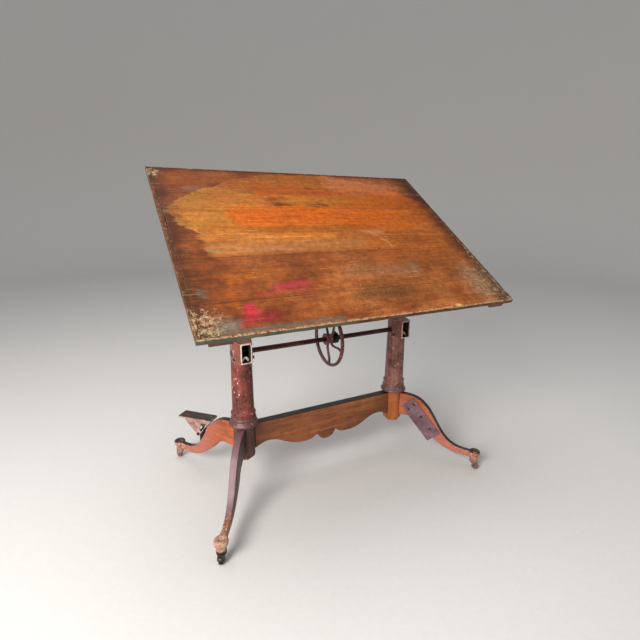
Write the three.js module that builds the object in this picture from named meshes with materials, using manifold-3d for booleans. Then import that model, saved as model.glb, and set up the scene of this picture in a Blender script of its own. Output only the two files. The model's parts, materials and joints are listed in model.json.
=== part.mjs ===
// Standing drafting table: a tilting board on two rack-and-pinion pedestals, raised by one
// handwheel on a cross shaft. Millimetres, +Z up, +X along the board, -Y towards the drafter.
import * as THREE from 'three';
import { mergeVertices } from 'three/addons/utils/BufferGeometryUtils.js';
import Module from 'manifold-3d';

const wasm = await Module();
wasm.setup();

// ---------------------------------------------------------------- driving dimensions
const GAP = 0.3; // clearance between pieces that touch
const ORIGIN_Y = 24.98; // shifts the stand so that the origin is under the middle of the table

const BOARD_LENGTH = 1524;
const BOARD_WIDTH = 1067;
const BOARD_THICKNESS = 22;
const BOARD_TILT = THREE.MathUtils.degToRad(34.5);
const BOARD_ABOVE_PIVOT = 115; // pivot axis to the board's upper face, square to the board
const END_STRIP = 20;
const BATTEN_WIDTH = 88;
const BATTEN_THICKNESS = 22;
const BATTEN_INSET = 45;

const POST_X = 457; // each pedestal's axis
const COLUMN_FOOT_Z = 355;
const COLUMN_TOP_Z = 788;
const COLUMN_RADIUS = 50;
const COLUMN_BORE = 42;
const COLUMN_WEB = 12; // thickness of the floor inside the column's foot
const HEAD_HALF_WIDTH = 29; // front face of the head
const HEAD_FRONT_Y = -84;
const BEARING_X = 47; // outer face of the shaft bearing bosses
const PAWL_BOSS_X = 44;
const HEAD_BOTTOM_Z = 688;
const WINDOW_WIDTH = 43;
const WINDOW_BOTTOM_Z = 695;
const WINDOW_TOP_Z = 781;

const SHAFT_Y = -9;
const SHAFT_Z = 727;
const SHAFT_RADIUS = 12.5;
const PINION_RADIUS = 22; // pitch radius
const PINION_TEETH = 10;
const PITCH = (2 * Math.PI * PINION_RADIUS) / PINION_TEETH;
const BUSH_RADIUS = 17.5;

const RACK_WIDTH = 30;
const RACK_BOTTOM_Z = 672;
const RACK_TOP_Z = 1080;
const RACK_BACK_Y = 34;
const RACK_TEETH = 26;

const PIVOT_Z = 1167;
const CHEEK_THICKNESS = 14;
const CLAMP_DROP = 54; // clamp stud below the pivot

const HUB_FLATS = 96; // across the flats of the six-sided hub block
const HUB_BOTTOM_Z = 171;
const LEG_ANGLE = THREE.MathUtils.degToRad(60); // between a leg and the stretcher's line
const LEG_THICKNESS = 33;
const ANKLE_THICKNESS = 25;
const FOOT_RADIUS = 490; // pedestal axis to caster axis
const STRETCHER_THICKNESS = 46;
const STRETCHER_TOP_Z = 349;

const WHEEL_RADIUS = 147; // handwheel, outside
const WHEEL_X = 12;
const SPOKES = 5;

const CASTER_RADIUS = 18;
const CASTER_WIDTH = 18;
const CASTER_TRAIL = 10;
const PAWL_PIN_Y = -38;
const PAWL_PIN_Z = 703.5;

const PEDAL_PIVOT_R = 298; // pedestal axis to the pedal pivot, along the leg
const PEDAL_PIVOT_Z = 226;
const TREAD_Z = 312;
const TREAD_LENGTH = 196;
const TREAD_WIDTH = 72;
const TREAD_AHEAD = 18; // middle of the tread beyond the pivot
const TREAD_ASIDE = 8;
const WEB_INSET = 6; // tread's edge to the middle of a web
const TREAD_TURN = THREE.MathUtils.degToRad(14); // treadle's length against its leg's line

// ---------------------------------------------------------------- materials
const finish = (color, roughness, metalness) => () =>
  new THREE.MeshStandardMaterial({ color, roughness, metalness });
const varnishedPine = finish(0x9a4a1c, 0.45, 0);
const edgeWood = finish(0x4a2412, 0.6, 0);
const battenWood = finish(0x7a3d22, 0.65, 0);
const legOak = finish(0xa8552f, 0.5, 0);
const hubOak = finish(0x9c4f26, 0.5, 0);
const stretcherWood = finish(0x7b3c16, 0.5, 0);
const paintedIron = finish(0x7a3b35, 0.42, 0.55);
const shaftSteel = finish(0x4a211a, 0.4, 0.8);
const darkIron = finish(0x2c2423, 0.5, 0.7);
const mauveIron = finish(0x8b6468, 0.5, 0.5);
const bronze = finish(0x6d5638, 0.4, 0.8);
const casterIron = finish(0x33302f, 0.5, 0.8);

// ---------------------------------------------------------------- solids
function solid(geometry) {
  geometry.deleteAttribute('normal');
  geometry.deleteAttribute('uv');
  const merged = mergeVertices(geometry, 1e-4);
  return new wasm.Manifold(new wasm.Mesh({
    numProp: 3,
    vertProperties: Float32Array.from(merged.attributes.position.array),
    triVerts: Uint32Array.from(merged.index.array),
  }));
}

const join = (first, ...others) => others.reduce((sum, other) => sum.add(other), first);
const cut = (first, ...others) => others.reduce((rest, other) => rest.subtract(other), first);

function toGeometry(body) {
  const mesh = body.getMesh();
  const geometry = new THREE.BufferGeometry();
  geometry.setAttribute('position', new THREE.BufferAttribute(mesh.vertProperties, 3));
  geometry.setIndex(new THREE.BufferAttribute(mesh.triVerts, 1));
  geometry.computeVertexNormals();
  return geometry;
}

// Mesh holding one solid, under the name a person would use for the piece.
function piece(parent, name, body, material) {
  const mesh = new THREE.Mesh(toGeometry(body), material());
  mesh.name = name;
  parent.add(mesh);
  return mesh;
}

function group(parent, x, y, z, turn = 0) {
  const child = new THREE.Group();
  child.position.set(x, y, z);
  child.rotation.z = turn;
  parent.add(child);
  return child;
}

function block(x0, x1, y0, y1, z0, z1) {
  const geometry = new THREE.BoxGeometry(x1 - x0, y1 - y0, z1 - z0);
  return solid(geometry.translate((x0 + x1) / 2, (y0 + y1) / 2, (z0 + z1) / 2));
}

// Solid of revolution about Z; the profile runs upwards as [radius, z] pairs.
function turned(profile, segments = 32) {
  const points = profile.map(([radius, z]) => new THREE.Vector2(radius, z));
  return solid(new THREE.LatheGeometry(points, segments).rotateX(Math.PI / 2));
}

// Round bar along X, centred on (y, z).
function barX(radius, x0, x1, y, z, segments = 24) {
  const geometry = new THREE.CylinderGeometry(radius, radius, x1 - x0, segments);
  return solid(geometry.rotateZ(Math.PI / 2).translate((x0 + x1) / 2, y, z));
}

// Round bar along Z, centred on (x, y).
function barZ(radius, z0, z1, x = 0, y = 0, segments = 24) {
  const geometry = new THREE.CylinderGeometry(radius, radius, z1 - z0, segments);
  return solid(geometry.rotateX(Math.PI / 2).translate(x, y, (z0 + z1) / 2));
}

// Extrude a (y, z) outline along X.
function slabX(shape, x0, x1, curveSegments = 8) {
  const options = { depth: x1 - x0, bevelEnabled: false, curveSegments };
  const geometry = new THREE.ExtrudeGeometry(shape, options);
  const axes = new THREE.Matrix4().makeBasis(
    new THREE.Vector3(0, 1, 0), new THREE.Vector3(0, 0, 1), new THREE.Vector3(1, 0, 0));
  return solid(geometry.applyMatrix4(axes).translate(x0, 0, 0));
}

// Extrude an (x, z) outline along Y.
function slabY(shape, y0, y1, curveSegments = 8) {
  const options = { depth: y1 - y0, bevelEnabled: false, curveSegments };
  const geometry = new THREE.ExtrudeGeometry(shape, options);
  return solid(geometry.rotateX(Math.PI / 2).translate(0, y1, 0));
}

function roundedRect(u0, u1, v0, v1, radius) {
  const shape = new THREE.Shape();
  shape.absarc(u0 + radius, v0 + radius, radius, Math.PI, 1.5 * Math.PI);
  shape.absarc(u1 - radius, v0 + radius, radius, 1.5 * Math.PI, 2 * Math.PI);
  shape.absarc(u1 - radius, v1 - radius, radius, 0, 0.5 * Math.PI);
  shape.absarc(u0 + radius, v1 - radius, radius, 0.5 * Math.PI, Math.PI);
  shape.closePath();
  return shape;
}

function polygon(points) {
  return new THREE.Shape(points.map(([u, v]) => new THREE.Vector2(u, v)));
}

const vectors = (points) => points.map(([u, v]) => new THREE.Vector2(u, v));

// ---------------------------------------------------------------- pedestal castings
// Forward part of the head: its sides run from the front corners to touch the round column.
function headBlock() {
  const reach = Math.hypot(HEAD_HALF_WIDTH, HEAD_FRONT_Y);
  const corner = Math.atan2(-HEAD_FRONT_Y, HEAD_HALF_WIDTH);
  const touch = corner - Math.acos(COLUMN_RADIUS / reach);
  const touchX = COLUMN_RADIUS * Math.cos(touch);
  const touchY = -COLUMN_RADIUS * Math.sin(touch);
  const round = 4;
  const front = HEAD_FRONT_Y;
  const edge = HEAD_HALF_WIDTH;
  const plan = polygon([
    [-touchX, touchY], [-edge, front + round], [-edge + round * 0.3, front + round * 0.3],
    [-edge + round, front], [edge - round, front], [edge - round * 0.3, front + round * 0.3],
    [edge, front + round], [touchX, touchY],
  ]);
  const options = { depth: COLUMN_TOP_Z - HEAD_BOTTOM_Z, bevelEnabled: false };
  const prism = solid(new THREE.ExtrudeGeometry(plan, options).translate(0, 0, HEAD_BOTTOM_Z));
  const side = slabX(roundedRect(front, 40, HEAD_BOTTOM_Z, COLUMN_TOP_Z, 7), -70, 70, 4);
  return prism.intersect(side);
}

function columnCasting() {
  const top = COLUMN_TOP_Z;
  const foot = COLUMN_FOOT_Z;
  const shell = turned([
    [0, foot], [70, foot], [72.5, foot + 4], [72.5, foot + 9], [69, foot + 15], [62, foot + 22],
    [60, foot + 28], [63, foot + 31], [63, foot + 37], [59.5, foot + 41], [58.5, foot + 58],
    [60.5, foot + 61], [60.5, foot + 66], [57, foot + 69], [53.5, foot + 71], [53, foot + 95],
    [COLUMN_RADIUS, HEAD_BOTTOM_Z], [COLUMN_RADIUS, top], [0, top],
  ], 32);
  const half = WINDOW_WIDTH / 2;
  const pocketShape = roundedRect(-half, half, WINDOW_BOTTOM_Z, WINDOW_TOP_Z, 7);
  const pocket = slabY(pocketShape, HEAD_FRONT_Y - 5, RACK_BACK_Y + GAP, 4);
  const rackSlot = block(
    -RACK_WIDTH / 2 - GAP, RACK_WIDTH / 2 + GAP, 8.4, RACK_BACK_Y + GAP, WINDOW_TOP_Z - 4, top + 5);
  const bore = barZ(COLUMN_BORE, foot + COLUMN_WEB, HEAD_BOTTOM_Z - 8, 0, 0, 32);
  const throat = block(-half, half, -30, RACK_BACK_Y + GAP, HEAD_BOTTOM_Z - 12, WINDOW_BOTTOM_Z + 4);
  const boltHole = barZ(6.5, foot - 5, foot + COLUMN_WEB + 5, 0, 0, 16);
  const bushHole = barX(BUSH_RADIUS + GAP, -60, 60, SHAFT_Y, SHAFT_Z);
  const pawlHole = barX(4.5 + GAP, -60, 60, PAWL_PIN_Y, PAWL_PIN_Z, 16);
  const bearings = barX(21, -BEARING_X, BEARING_X, SHAFT_Y, SHAFT_Z);
  const seats = [-60, BEARING_X].map((x) => barX(21, x, x + 60 - BEARING_X, SHAFT_Y, SHAFT_Z));
  const pawlBosses = barX(10.5, -PAWL_BOSS_X, PAWL_BOSS_X, PAWL_PIN_Y, PAWL_PIN_Z, 16);
  const outside = join(shell, headBlock(), bearings, pawlBosses);
  return cut(outside, pocket, rackSlot, bore, throat, boltHole, bushHole, pawlHole, ...seats);
}

// Six-sided block: one flat meets the stretcher and the two on the far side meet the legs.
function hubBlock() {
  const corner = HUB_FLATS / Math.sqrt(3);
  const bottom = HUB_BOTTOM_Z;
  const prism = turned([
    [0, bottom], [corner - 15, bottom], [corner - 4, bottom + 8], [corner, bottom + 18],
    [corner, COLUMN_FOOT_Z - GAP], [0, COLUMN_FOOT_Z - GAP],
  ], 6);
  const boltHole = barZ(6.5, bottom - 5, COLUMN_FOOT_Z + 5, 0, 0, 16);
  return cut(prism, boltHole);
}

// Long bolt that pulls the column down on its hub block.
function tieBolt() {
  const head = barZ(12, HUB_BOTTOM_Z - GAP - 9, HUB_BOTTOM_Z - GAP, 0, 0, 6);
  const shank = barZ(6, HUB_BOTTOM_Z - 5, COLUMN_FOOT_Z + COLUMN_WEB + 12, 0, 0, 12);
  const nutFoot = COLUMN_FOOT_Z + COLUMN_WEB + GAP;
  return join(head, shank, barZ(11, nutFoot, nutFoot + 9, 0, 0, 6));
}

function shaftBush() {
  const wall = BEARING_X - WINDOW_WIDTH / 2;
  const sleeve = barX(BUSH_RADIUS, -wall + 1, 0.5, 0, 0, 20);
  const flange = barX(20, GAP, 3.5, 0, 0, 20);
  return cut(join(sleeve, flange), barX(SHAFT_RADIUS + GAP, -40, 20, 0, 0, 16));
}

// ---------------------------------------------------------------- legs, feet and stretcher
function legBlank() {
  const root = HUB_FLATS / 2 + GAP;
  const shape = new THREE.Shape();
  shape.moveTo(root, 347);
  shape.splineThru(vectors([
    [100, 347], [142, 341], [180, 325], [220, 291], [250, 250], [270, 220], [290, 188], [309, 163],
    [340, 132], [378, 112], [420, 104], [472, 103],
  ]));
  shape.lineTo(472, 67);
  shape.splineThru(vectors([
    [420, 66], [362, 72], [312, 89], [262, 119], [214, 156], [176, 195], [138, 218], [100, 217],
    [root, 213],
  ]));
  shape.closePath();
  const depth = LEG_THICKNESS;
  const geometry = new THREE.ExtrudeGeometry(shape, { depth, bevelEnabled: false, curveSegments: 2 });
  geometry.rotateX(Math.PI / 2).translate(0, depth / 2, 0);
  const position = geometry.attributes.position;
  for (let i = 0; i < position.count; i += 1) {
    const along = THREE.MathUtils.smoothstep(position.getX(i), 240, 440);
    const thickness = THREE.MathUtils.lerp(LEG_THICKNESS, ANKLE_THICKNESS, along);
    position.setY(i, (position.getY(i) * thickness) / LEG_THICKNESS);
  }
  return solid(geometry);
}

// Plank leg with a turned foot knuckle; the leg runs along +X from the pedestal axis.
function leg() {
  const knuckle = turned([
    [0, 44], [18.5, 44], [20, 58], [22, 76], [27, 83], [30.5, 90], [30.5, 100], [27, 106], [20, 109],
    [13, 109], [10, 105.5], [0, 105],
  ], 20).translate([FOOT_RADIUS, 0, 0]);
  const socketHole = barZ(8.5, 40, 78, FOOT_RADIUS, 0, 16);
  return cut(join(legBlank(), knuckle), socketHole);
}

function stretcher() {
  const end = POST_X - HUB_FLATS / 2 - GAP;
  const top = STRETCHER_TOP_Z;
  const shape = new THREE.Shape();
  shape.moveTo(-end, top);
  shape.lineTo(-end, 213);
  shape.splineThru(vectors([[-375, 230], [-338, 238], [-290, 230], [-245, 208], [-190, 186],
    [-138, 179], [-88, 184], [-55, 205]]));
  shape.splineThru(vectors([[-42, 180], [-22, 167], [0, 164], [22, 167], [42, 180], [55, 205]]));
  shape.splineThru(vectors([[88, 184], [138, 179], [190, 186], [245, 208], [290, 230], [338, 238],
    [375, 230], [end, 213]]));
  shape.lineTo(end, top);
  shape.closePath();
  return slabY(shape, -STRETCHER_THICKNESS / 2, STRETCHER_THICKNESS / 2, 3);
}

// Iron plate screwed over a split in the front right leg.
function repairPlate() {
  const plate = slabY(roundedRect(-124, 118, -48, 48, 4), -2, 2, 3);
  return plate.rotate([0, 45.8, 0]).translate([185, -LEG_THICKNESS / 2 - 2 - GAP, 213]);
}

// ---------------------------------------------------------------- casters
function casterSocket() {
  const profile = [[5.2, 40.7], [20, 40.7], [20, 43.7], [8, 43.7], [8, 74], [5.2, 74], [5.2, 40.7]];
  return turned(profile, 12);
}

function casterFork() {
  const reach = CASTER_TRAIL + 7;
  const inner = CASTER_WIDTH / 2 + 1;
  const crown = join(
    barZ(17, 36.4, 40.4, 0, 0, 20), block(-4, reach, -inner - 4, inner + 4, 36.4, 40.4));
  const cheekShape = polygon([
    [-4, 38], [CASTER_TRAIL - 8, 14], [CASTER_TRAIL - 3, 10], [CASTER_TRAIL + 4, 10],
    [CASTER_TRAIL + 8, 15], [reach, 38],
  ]);
  const cheeks = [slabY(cheekShape, inner, inner + 4), slabY(cheekShape, -inner - 4, -inner)];
  const axleHole = slabY(
    new THREE.Shape().absarc(CASTER_TRAIL, CASTER_RADIUS, 3 + GAP, 0, 2 * Math.PI), -30, 30, 6);
  return cut(join(crown, barZ(4.9, 39, 66, 0, 0, 12), ...cheeks), axleHole);
}

function casterWheel() {
  const half = CASTER_WIDTH / 2;
  const edge = CASTER_RADIUS;
  const wheel = turned([
    [3.4, -half], [8, -half], [9, -half + 2], [13, -half + 1], [edge - 1.5, -half + 1],
    [edge, -half + 3.5], [edge, half - 3.5], [edge - 1.5, half - 1], [13, half - 1],
    [9, half - 2], [8, half], [3.4, half], [3.4, -half],
  ], 16);
  return wheel.rotate([90, 0, 0]).translate([CASTER_TRAIL, 0, CASTER_RADIUS]);
}

function casterAxle() {
  const span = CASTER_WIDTH / 2 + 5 + GAP;
  const axle = join(barZ(3, -span - 1, span + 1, 0, 0, 8), barZ(5, span, span + 2.5, 0, 0, 10),
    barZ(5, -span - 2.5, -span, 0, 0, 10));
  return axle.rotate([90, 0, 0]).translate([CASTER_TRAIL, 0, CASTER_RADIUS]);
}

// ---------------------------------------------------------------- lifting gear
function pinion() {
  const step = (2 * Math.PI) / PINION_TEETH;
  const tooth = [[17, 0.13], [20.4, 0.145], [PINION_RADIUS, 0.135], [24.3, 0.092], [26, 0.042]];
  const points = [];
  for (let i = 0; i < PINION_TEETH; i += 1) {
    const at = (r, turn) => [r * Math.cos(i * step + turn), r * Math.sin(i * step + turn)];
    tooth.forEach(([r, half]) => points.push(at(r, -half)));
    tooth.toReversed().forEach(([r, half]) => points.push(at(r, half)));
  }
  const gear = slabX(polygon(points), -RACK_WIDTH / 2 + 1, RACK_WIDTH / 2 - 1);
  const hub = barX(18, RACK_WIDTH / 2 - 2, RACK_WIDTH / 2 + 4, 0, 0, 16);
  return cut(join(gear, hub), barX(SHAFT_RADIUS + GAP, -30, 30, 0, 0, 16));
}

// Toothed bar; a gap between teeth faces the shaft at rest.
function rack() {
  const pitchLine = SHAFT_Y + PINION_RADIUS;
  const first = SHAFT_Z - 2.5 * PITCH;
  const points = [[RACK_BACK_Y, RACK_BOTTOM_Z], [pitchLine + 4.7, RACK_BOTTOM_Z]];
  for (let i = 0; i < RACK_TEETH; i += 1) {
    const z = first + i * PITCH;
    points.push([pitchLine + 4.7, z - 4.6], [pitchLine - 3, z - 1.9]);
    points.push([pitchLine - 3, z + 1.9], [pitchLine + 4.7, z + 4.6]);
  }
  points.push([pitchLine + 4.7, RACK_TOP_Z], [RACK_BACK_Y, RACK_TOP_Z]);
  return slabX(polygon(points), -RACK_WIDTH / 2, RACK_WIDTH / 2);
}

// Dog that drops against the pinion: an arched face carried in front of its pin by two arms.
function pawl() {
  const arch = polygon([[-16, -6], [-9, -6], [-4, 7], [4, 7], [9, -6], [16, -6], [16, 4], [6, 17],
    [-6, 17], [-16, 4]]);
  const parts = [slabY(arch, -28, -22)];
  for (const side of [-1, 1]) {
    const inner = Math.min(side * 9, side * 16);
    parts.push(barX(7.2, inner, inner + 7, 0, 0, 16), block(inner, inner + 7, -24, 0, -6, 2));
  }
  return cut(join(...parts), barX(4.5 + GAP, -30, 30, 0, 0, 16));
}

function pawlPin() {
  const end = PAWL_BOSS_X + GAP;
  return join(barX(4.5, -end - 1, end + 1, 0, 0, 12), barX(8, -end - 6, -end, 0, 0, 6),
    barX(8, end, end + 6, 0, 0, 6));
}

function spokePath(turn) {
  const bend = [[17, 0], [45, 12], [80, 2], [112, -10], [WHEEL_RADIUS - 10, -4]];
  const along = new THREE.Vector3(0, Math.cos(turn), Math.sin(turn));
  const across = new THREE.Vector3(0, -Math.sin(turn), Math.cos(turn));
  const points = bend.map(([r, off]) =>
    new THREE.Vector3().addScaledVector(along, r).addScaledVector(across, off));
  return new THREE.CatmullRomCurve3(points);
}

function handwheel() {
  const section = new THREE.Shape().absellipse(0, 0, 7.5, 6, 0, 2 * Math.PI);
  let wheel = join(
    barX(25, -16, 16, 0, 0, 24), barX(31, -23, -17, 0, 0, 24), barX(22, -18, -14, 0, 0, 24));
  for (let i = 0; i < SPOKES; i += 1) {
    const extrudePath = spokePath((i * 2 * Math.PI) / SPOKES - Math.PI / 2);
    const options = { steps: 7, extrudePath, curveSegments: 4 };
    wheel = wheel.add(solid(new THREE.ExtrudeGeometry(section, options)));
  }
  const middle = WHEEL_RADIUS - 8.5;
  const rim = [];
  for (let i = 0; i <= 8; i += 1) {
    const angle = (i * 2 * Math.PI) / 8;
    rim.push([middle + 8.5 * Math.cos(angle), 10.5 * Math.sin(angle)]);
  }
  wheel = wheel.add(turned(rim, 40).rotate([0, 90, 0]));
  return cut(wheel, barX(SHAFT_RADIUS + GAP, -30, 30, 0, 0));
}

function wheelCollar() {
  const ring = join(barX(28, -12, 12, 0, 0), barZ(6, 20, 35, 0, 0, 6));
  return cut(ring, barX(SHAFT_RADIUS + GAP, -30, 30, 0, 0));
}

function crossShaft() {
  const end = POST_X + BEARING_X + 5;
  return barX(SHAFT_RADIUS, -end, end, SHAFT_Y, SHAFT_Z, 24);
}

// ---------------------------------------------------------------- tilting gear
// Upright bracket on top of the rack; the pivot pin and the clamp stud cross it.
function trunnion() {
  const half = CHEEK_THICKNESS / 2;
  const foot = block(-24, 24, 0, 42, RACK_TOP_Z + GAP, RACK_TOP_Z + 14);
  const outline = new THREE.Shape();
  outline.moveTo(40, RACK_TOP_Z + 2);
  outline.lineTo(24, PIVOT_Z + 6);
  outline.absarc(0, PIVOT_Z, 24, 0.1 * Math.PI, 1.0 * Math.PI);
  outline.lineTo(-22, PIVOT_Z - CLAMP_DROP - 14);
  outline.lineTo(-8, RACK_TOP_Z + 2);
  outline.closePath();
  const pivotHole = barX(8 + GAP, -30, 30, 0, PIVOT_Z);
  const clampHole = barX(6 + GAP, -30, 30, 0, PIVOT_Z - CLAMP_DROP, 16);
  return cut(join(foot, slabX(outline, -half, half)), pivotHole, clampHole);
}

function pivotPin(side) {
  const inner = -CHEEK_THICKNESS / 2 - GAP;
  const outer = CHEEK_THICKNESS / 2 + 14 + GAP;
  const pin = join(barX(8, inner - 2, outer + 2, 0, 0, 20), barX(14, inner - 8, inner, 0, 0, 20),
    barX(14, outer, outer + 10, 0, 0, 6));
  return side > 0 ? pin : pin.mirror([1, 0, 0]);
}

// Plate under the board with a slotted quadrant; drawn with the board level, about the pivot.
function hingePlate(side) {
  const x0 = CHEEK_THICKNESS / 2 + 1;
  const x1 = x0 + 12;
  const under = BOARD_ABOVE_PIVOT - BOARD_THICKNESS;
  const flange = block(x0 - 34, x1 + 34, -78, 78, under - GAP - 9, under - GAP);
  const web = new THREE.Shape();
  web.moveTo(62, under - 2);
  web.lineTo(-70, under - 2);
  web.lineTo(-66, 10);
  web.absarc(0, 0, 67, 0.95 * Math.PI, 1.58 * Math.PI);
  web.lineTo(22, -12);
  web.closePath();
  const slot = new THREE.Shape();
  slot.absarc(0, 0, CLAMP_DROP + 6.6, 1.145 * Math.PI, 1.545 * Math.PI);
  slot.absarc(0, 0, CLAMP_DROP - 6.6, 1.545 * Math.PI, 1.145 * Math.PI, true);
  slot.closePath();
  const plate = cut(join(slabX(web, x0, x1, 16), flange), slabX(slot, x0 - 1, x1 + 1, 16),
    barX(8 + GAP, x0 - 5, x1 + 5, 0, 0));
  return side > 0 ? plate : plate.mirror([1, 0, 0]);
}

// Lobed hand knob on the stud that pinches the quadrant to the bracket.
function clampKnob(side) {
  const nearFace = CHEEK_THICKNESS / 2 + 13 + 2;
  const inner = -CHEEK_THICKNESS / 2 - GAP;
  const stud = join(barX(6, inner - 2, nearFace + 4, 0, 0, 12), barX(10, inner - 7, inner, 0, 0, 6));
  const boss = barX(13, nearFace, nearFace + 8, 0, 0, 16);
  let knob = join(stud, boss, barX(16, nearFace + 7, nearFace + 24, 0, 0, 16));
  for (let i = 0; i < 4; i += 1) {
    const turn = (i * Math.PI) / 2 + Math.PI / 4;
    const lobe = barX(7, nearFace + 9, nearFace + 22, 17 * Math.cos(turn), 17 * Math.sin(turn), 10);
    knob = knob.add(lobe);
  }
  return side > 0 ? knob : knob.mirror([1, 0, 0]);
}

// ---------------------------------------------------------------- foot pedal
// Lug standing on the sloping top edge of the leg, turned to face along the treadle.
function pedalBracket() {
  const outline = new THREE.Shape();
  outline.moveTo(-12, -80);
  outline.lineTo(12, -80);
  outline.absarc(0, 0, 11, 0, Math.PI);
  outline.closePath();
  const pinHole = slabY(new THREE.Shape().absarc(0, 0, 5 + GAP, 0, 2 * Math.PI), -20, 20, 5);
  const lug = cut(slabY(outline, -12, 12), pinHole);
  const turn = THREE.MathUtils.radToDeg(TREAD_TURN);
  const placed = lug.rotate([0, 0, turn]).translate([PEDAL_PIVOT_R, 0, PEDAL_PIVOT_Z]);
  return cut(placed, legBlank().translate([GAP, 0, GAP]));
}

// Rocking treadle drawn about its pivot with its length along X: a tread on two webs, closed
// towards the pedestal by a sloping end wall that follows the leg's shoulder.
function footPedal() {
  const under = TREAD_Z - PEDAL_PIVOT_Z - 9;
  const inner = TREAD_AHEAD - TREAD_LENGTH / 2;
  const outer = TREAD_AHEAD + TREAD_LENGTH / 2;
  const near = TREAD_ASIDE + TREAD_WIDTH / 2;
  const far = TREAD_ASIDE - TREAD_WIDTH / 2;
  const options = { depth: 9, bevelEnabled: false, curveSegments: 4 };
  const outline = roundedRect(inner, outer, far, near, 8);
  const tread = solid(new THREE.ExtrudeGeometry(outline, options).translate(0, 0, under));
  const web = polygon([
    [6, -8], [14, 4], [outer - 38, under - 4], [outer - 38, under + 2], [inner + 4, under + 2],
    [inner + 6, under - 4], [-59, 60], [-41, 38], [-14, 2], [-6, -8],
  ]);
  const opening = slabY(polygon([[-20, 64], [-52, 62], [-36, 38], [-17, 14], [-8, 24]]), -80, 80);
  const ear = new THREE.Shape().absarc(0, 0, 12, 0, 2 * Math.PI);
  const webs = [near - WEB_INSET, far + WEB_INSET].map((y) =>
    join(cut(slabY(web, y - 3.5, y + 3.5), opening), slabY(ear, y - 3.5, y + 3.5, 6)));
  const wall = polygon([
    [inner + 6, under - 4], [-59, 60], [-41, 38], [-35, 41], [-53, 64], [inner + 18, under + 2],
    [inner + 6, under + 2],
  ]);
  const endWall = slabY(wall, far + WEB_INSET, near - WEB_INSET);
  const pinHole = slabY(new THREE.Shape().absarc(0, 0, 5 + GAP, 0, 2 * Math.PI), -80, 80, 5);
  return cut(join(tread, ...webs, endWall), pinHole);
}

function pedalPin() {
  const near = TREAD_ASIDE + TREAD_WIDTH / 2 - WEB_INSET + 3.8;
  const far = TREAD_ASIDE - TREAD_WIDTH / 2 + WEB_INSET - 3.8;
  const pin = join(barZ(5, far - 1, near + 1), barZ(8.5, near, near + 4), barZ(8.5, far - 4, far));
  return pin.rotate([-90, 0, 0]);
}

// Torsion spring coiled on the end of the pedal pin.
function pedalSpring() {
  const turns = 3;
  const points = [];
  for (let i = 0; i <= turns * 10; i += 1) {
    const angle = (i * 2 * Math.PI) / 10;
    const along = 16 + (i / (turns * 10)) * 10.5;
    points.push(new THREE.Vector3(8 * Math.cos(angle), along, 8 * Math.sin(angle)));
  }
  const wire = new THREE.Shape().absarc(0, 0, 1.1, 0, 2 * Math.PI);
  const extrudePath = new THREE.CatmullRomCurve3(points);
  const options = { steps: turns * 10, extrudePath, curveSegments: 3 };
  return solid(new THREE.ExtrudeGeometry(wire, options));
}

// ---------------------------------------------------------------- assembly
const table = new THREE.Group();
table.position.y = ORIGIN_Y;

for (const [name, side] of [['left', -1], ['right', 1]]) {
  const post = group(table, side * POST_X, 0, 0);
  piece(post, `${name}_column`, columnCasting(), paintedIron);
  piece(post, `${name}_hub_block`, hubBlock(), hubOak);
  piece(post, `${name}_tie_bolt`, tieBolt(), darkIron);
  piece(post, `${name}_rack`, rack(), darkIron);
  piece(post, `${name}_trunnion`, trunnion(), paintedIron);
  piece(group(post, 0, PAWL_PIN_Y, PAWL_PIN_Z), `${name}_pawl`, pawl(), bronze);
  piece(group(post, 0, PAWL_PIN_Y, PAWL_PIN_Z), `${name}_pawl_pin`, pawlPin(), darkIron);
  piece(group(post, 0, SHAFT_Y, SHAFT_Z), `${name}_pinion`, pinion(), darkIron);
  for (const [place, outward] of [['inner', -side], ['outer', side]]) {
    const seat = group(post, outward * BEARING_X, SHAFT_Y, SHAFT_Z, outward > 0 ? 0 : Math.PI);
    piece(seat, `${name}_${place}_bush`, shaftBush(), mauveIron);
  }
  piece(group(post, 0, 0, PIVOT_Z), `${name}_pivot_pin`, pivotPin(side), darkIron);
  piece(group(post, 0, 0, PIVOT_Z - CLAMP_DROP), `${name}_clamp_knob`, clampKnob(side), darkIron);

  for (const [end, towards] of [['front', -1], ['back', 1]]) {
    const heading = side > 0 ? towards * LEG_ANGLE : Math.PI - towards * LEG_ANGLE;
    const legLine = group(post, 0, 0, 0, heading);
    const label = `${end}_${name}`;
    piece(legLine, `${label}_leg`, leg(), legOak);
    const foot = group(legLine, FOOT_RADIUS, 0, 0);
    piece(foot, `${label}_caster_socket`, casterSocket(), casterIron);
    piece(foot, `${label}_caster_fork`, casterFork(), casterIron);
    piece(foot, `${label}_caster_wheel`, casterWheel(), casterIron);
    piece(foot, `${label}_caster_axle`, casterAxle(), casterIron);
    if (label === 'front_right') piece(legLine, 'repair_plate', repairPlate(), mauveIron);
    if (label === 'back_left') {
      piece(legLine, 'pedal_bracket', pedalBracket(), darkIron);
      const pivot = group(legLine, PEDAL_PIVOT_R, 0, PEDAL_PIVOT_Z, TREAD_TURN);
      piece(pivot, 'foot_pedal', footPedal(), darkIron);
      piece(pivot, 'pedal_pin', pedalPin(), darkIron);
      piece(pivot, 'pedal_spring', pedalSpring(), darkIron);
    }
  }
}

piece(table, 'stretcher', stretcher(), stretcherWood);
piece(table, 'cross_shaft', crossShaft(), shaftSteel);
piece(group(table, WHEEL_X, SHAFT_Y, SHAFT_Z), 'handwheel', handwheel(), mauveIron);
piece(group(table, WHEEL_X + 36, SHAFT_Y, SHAFT_Z), 'wheel_collar', wheelCollar(), darkIron);

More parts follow.
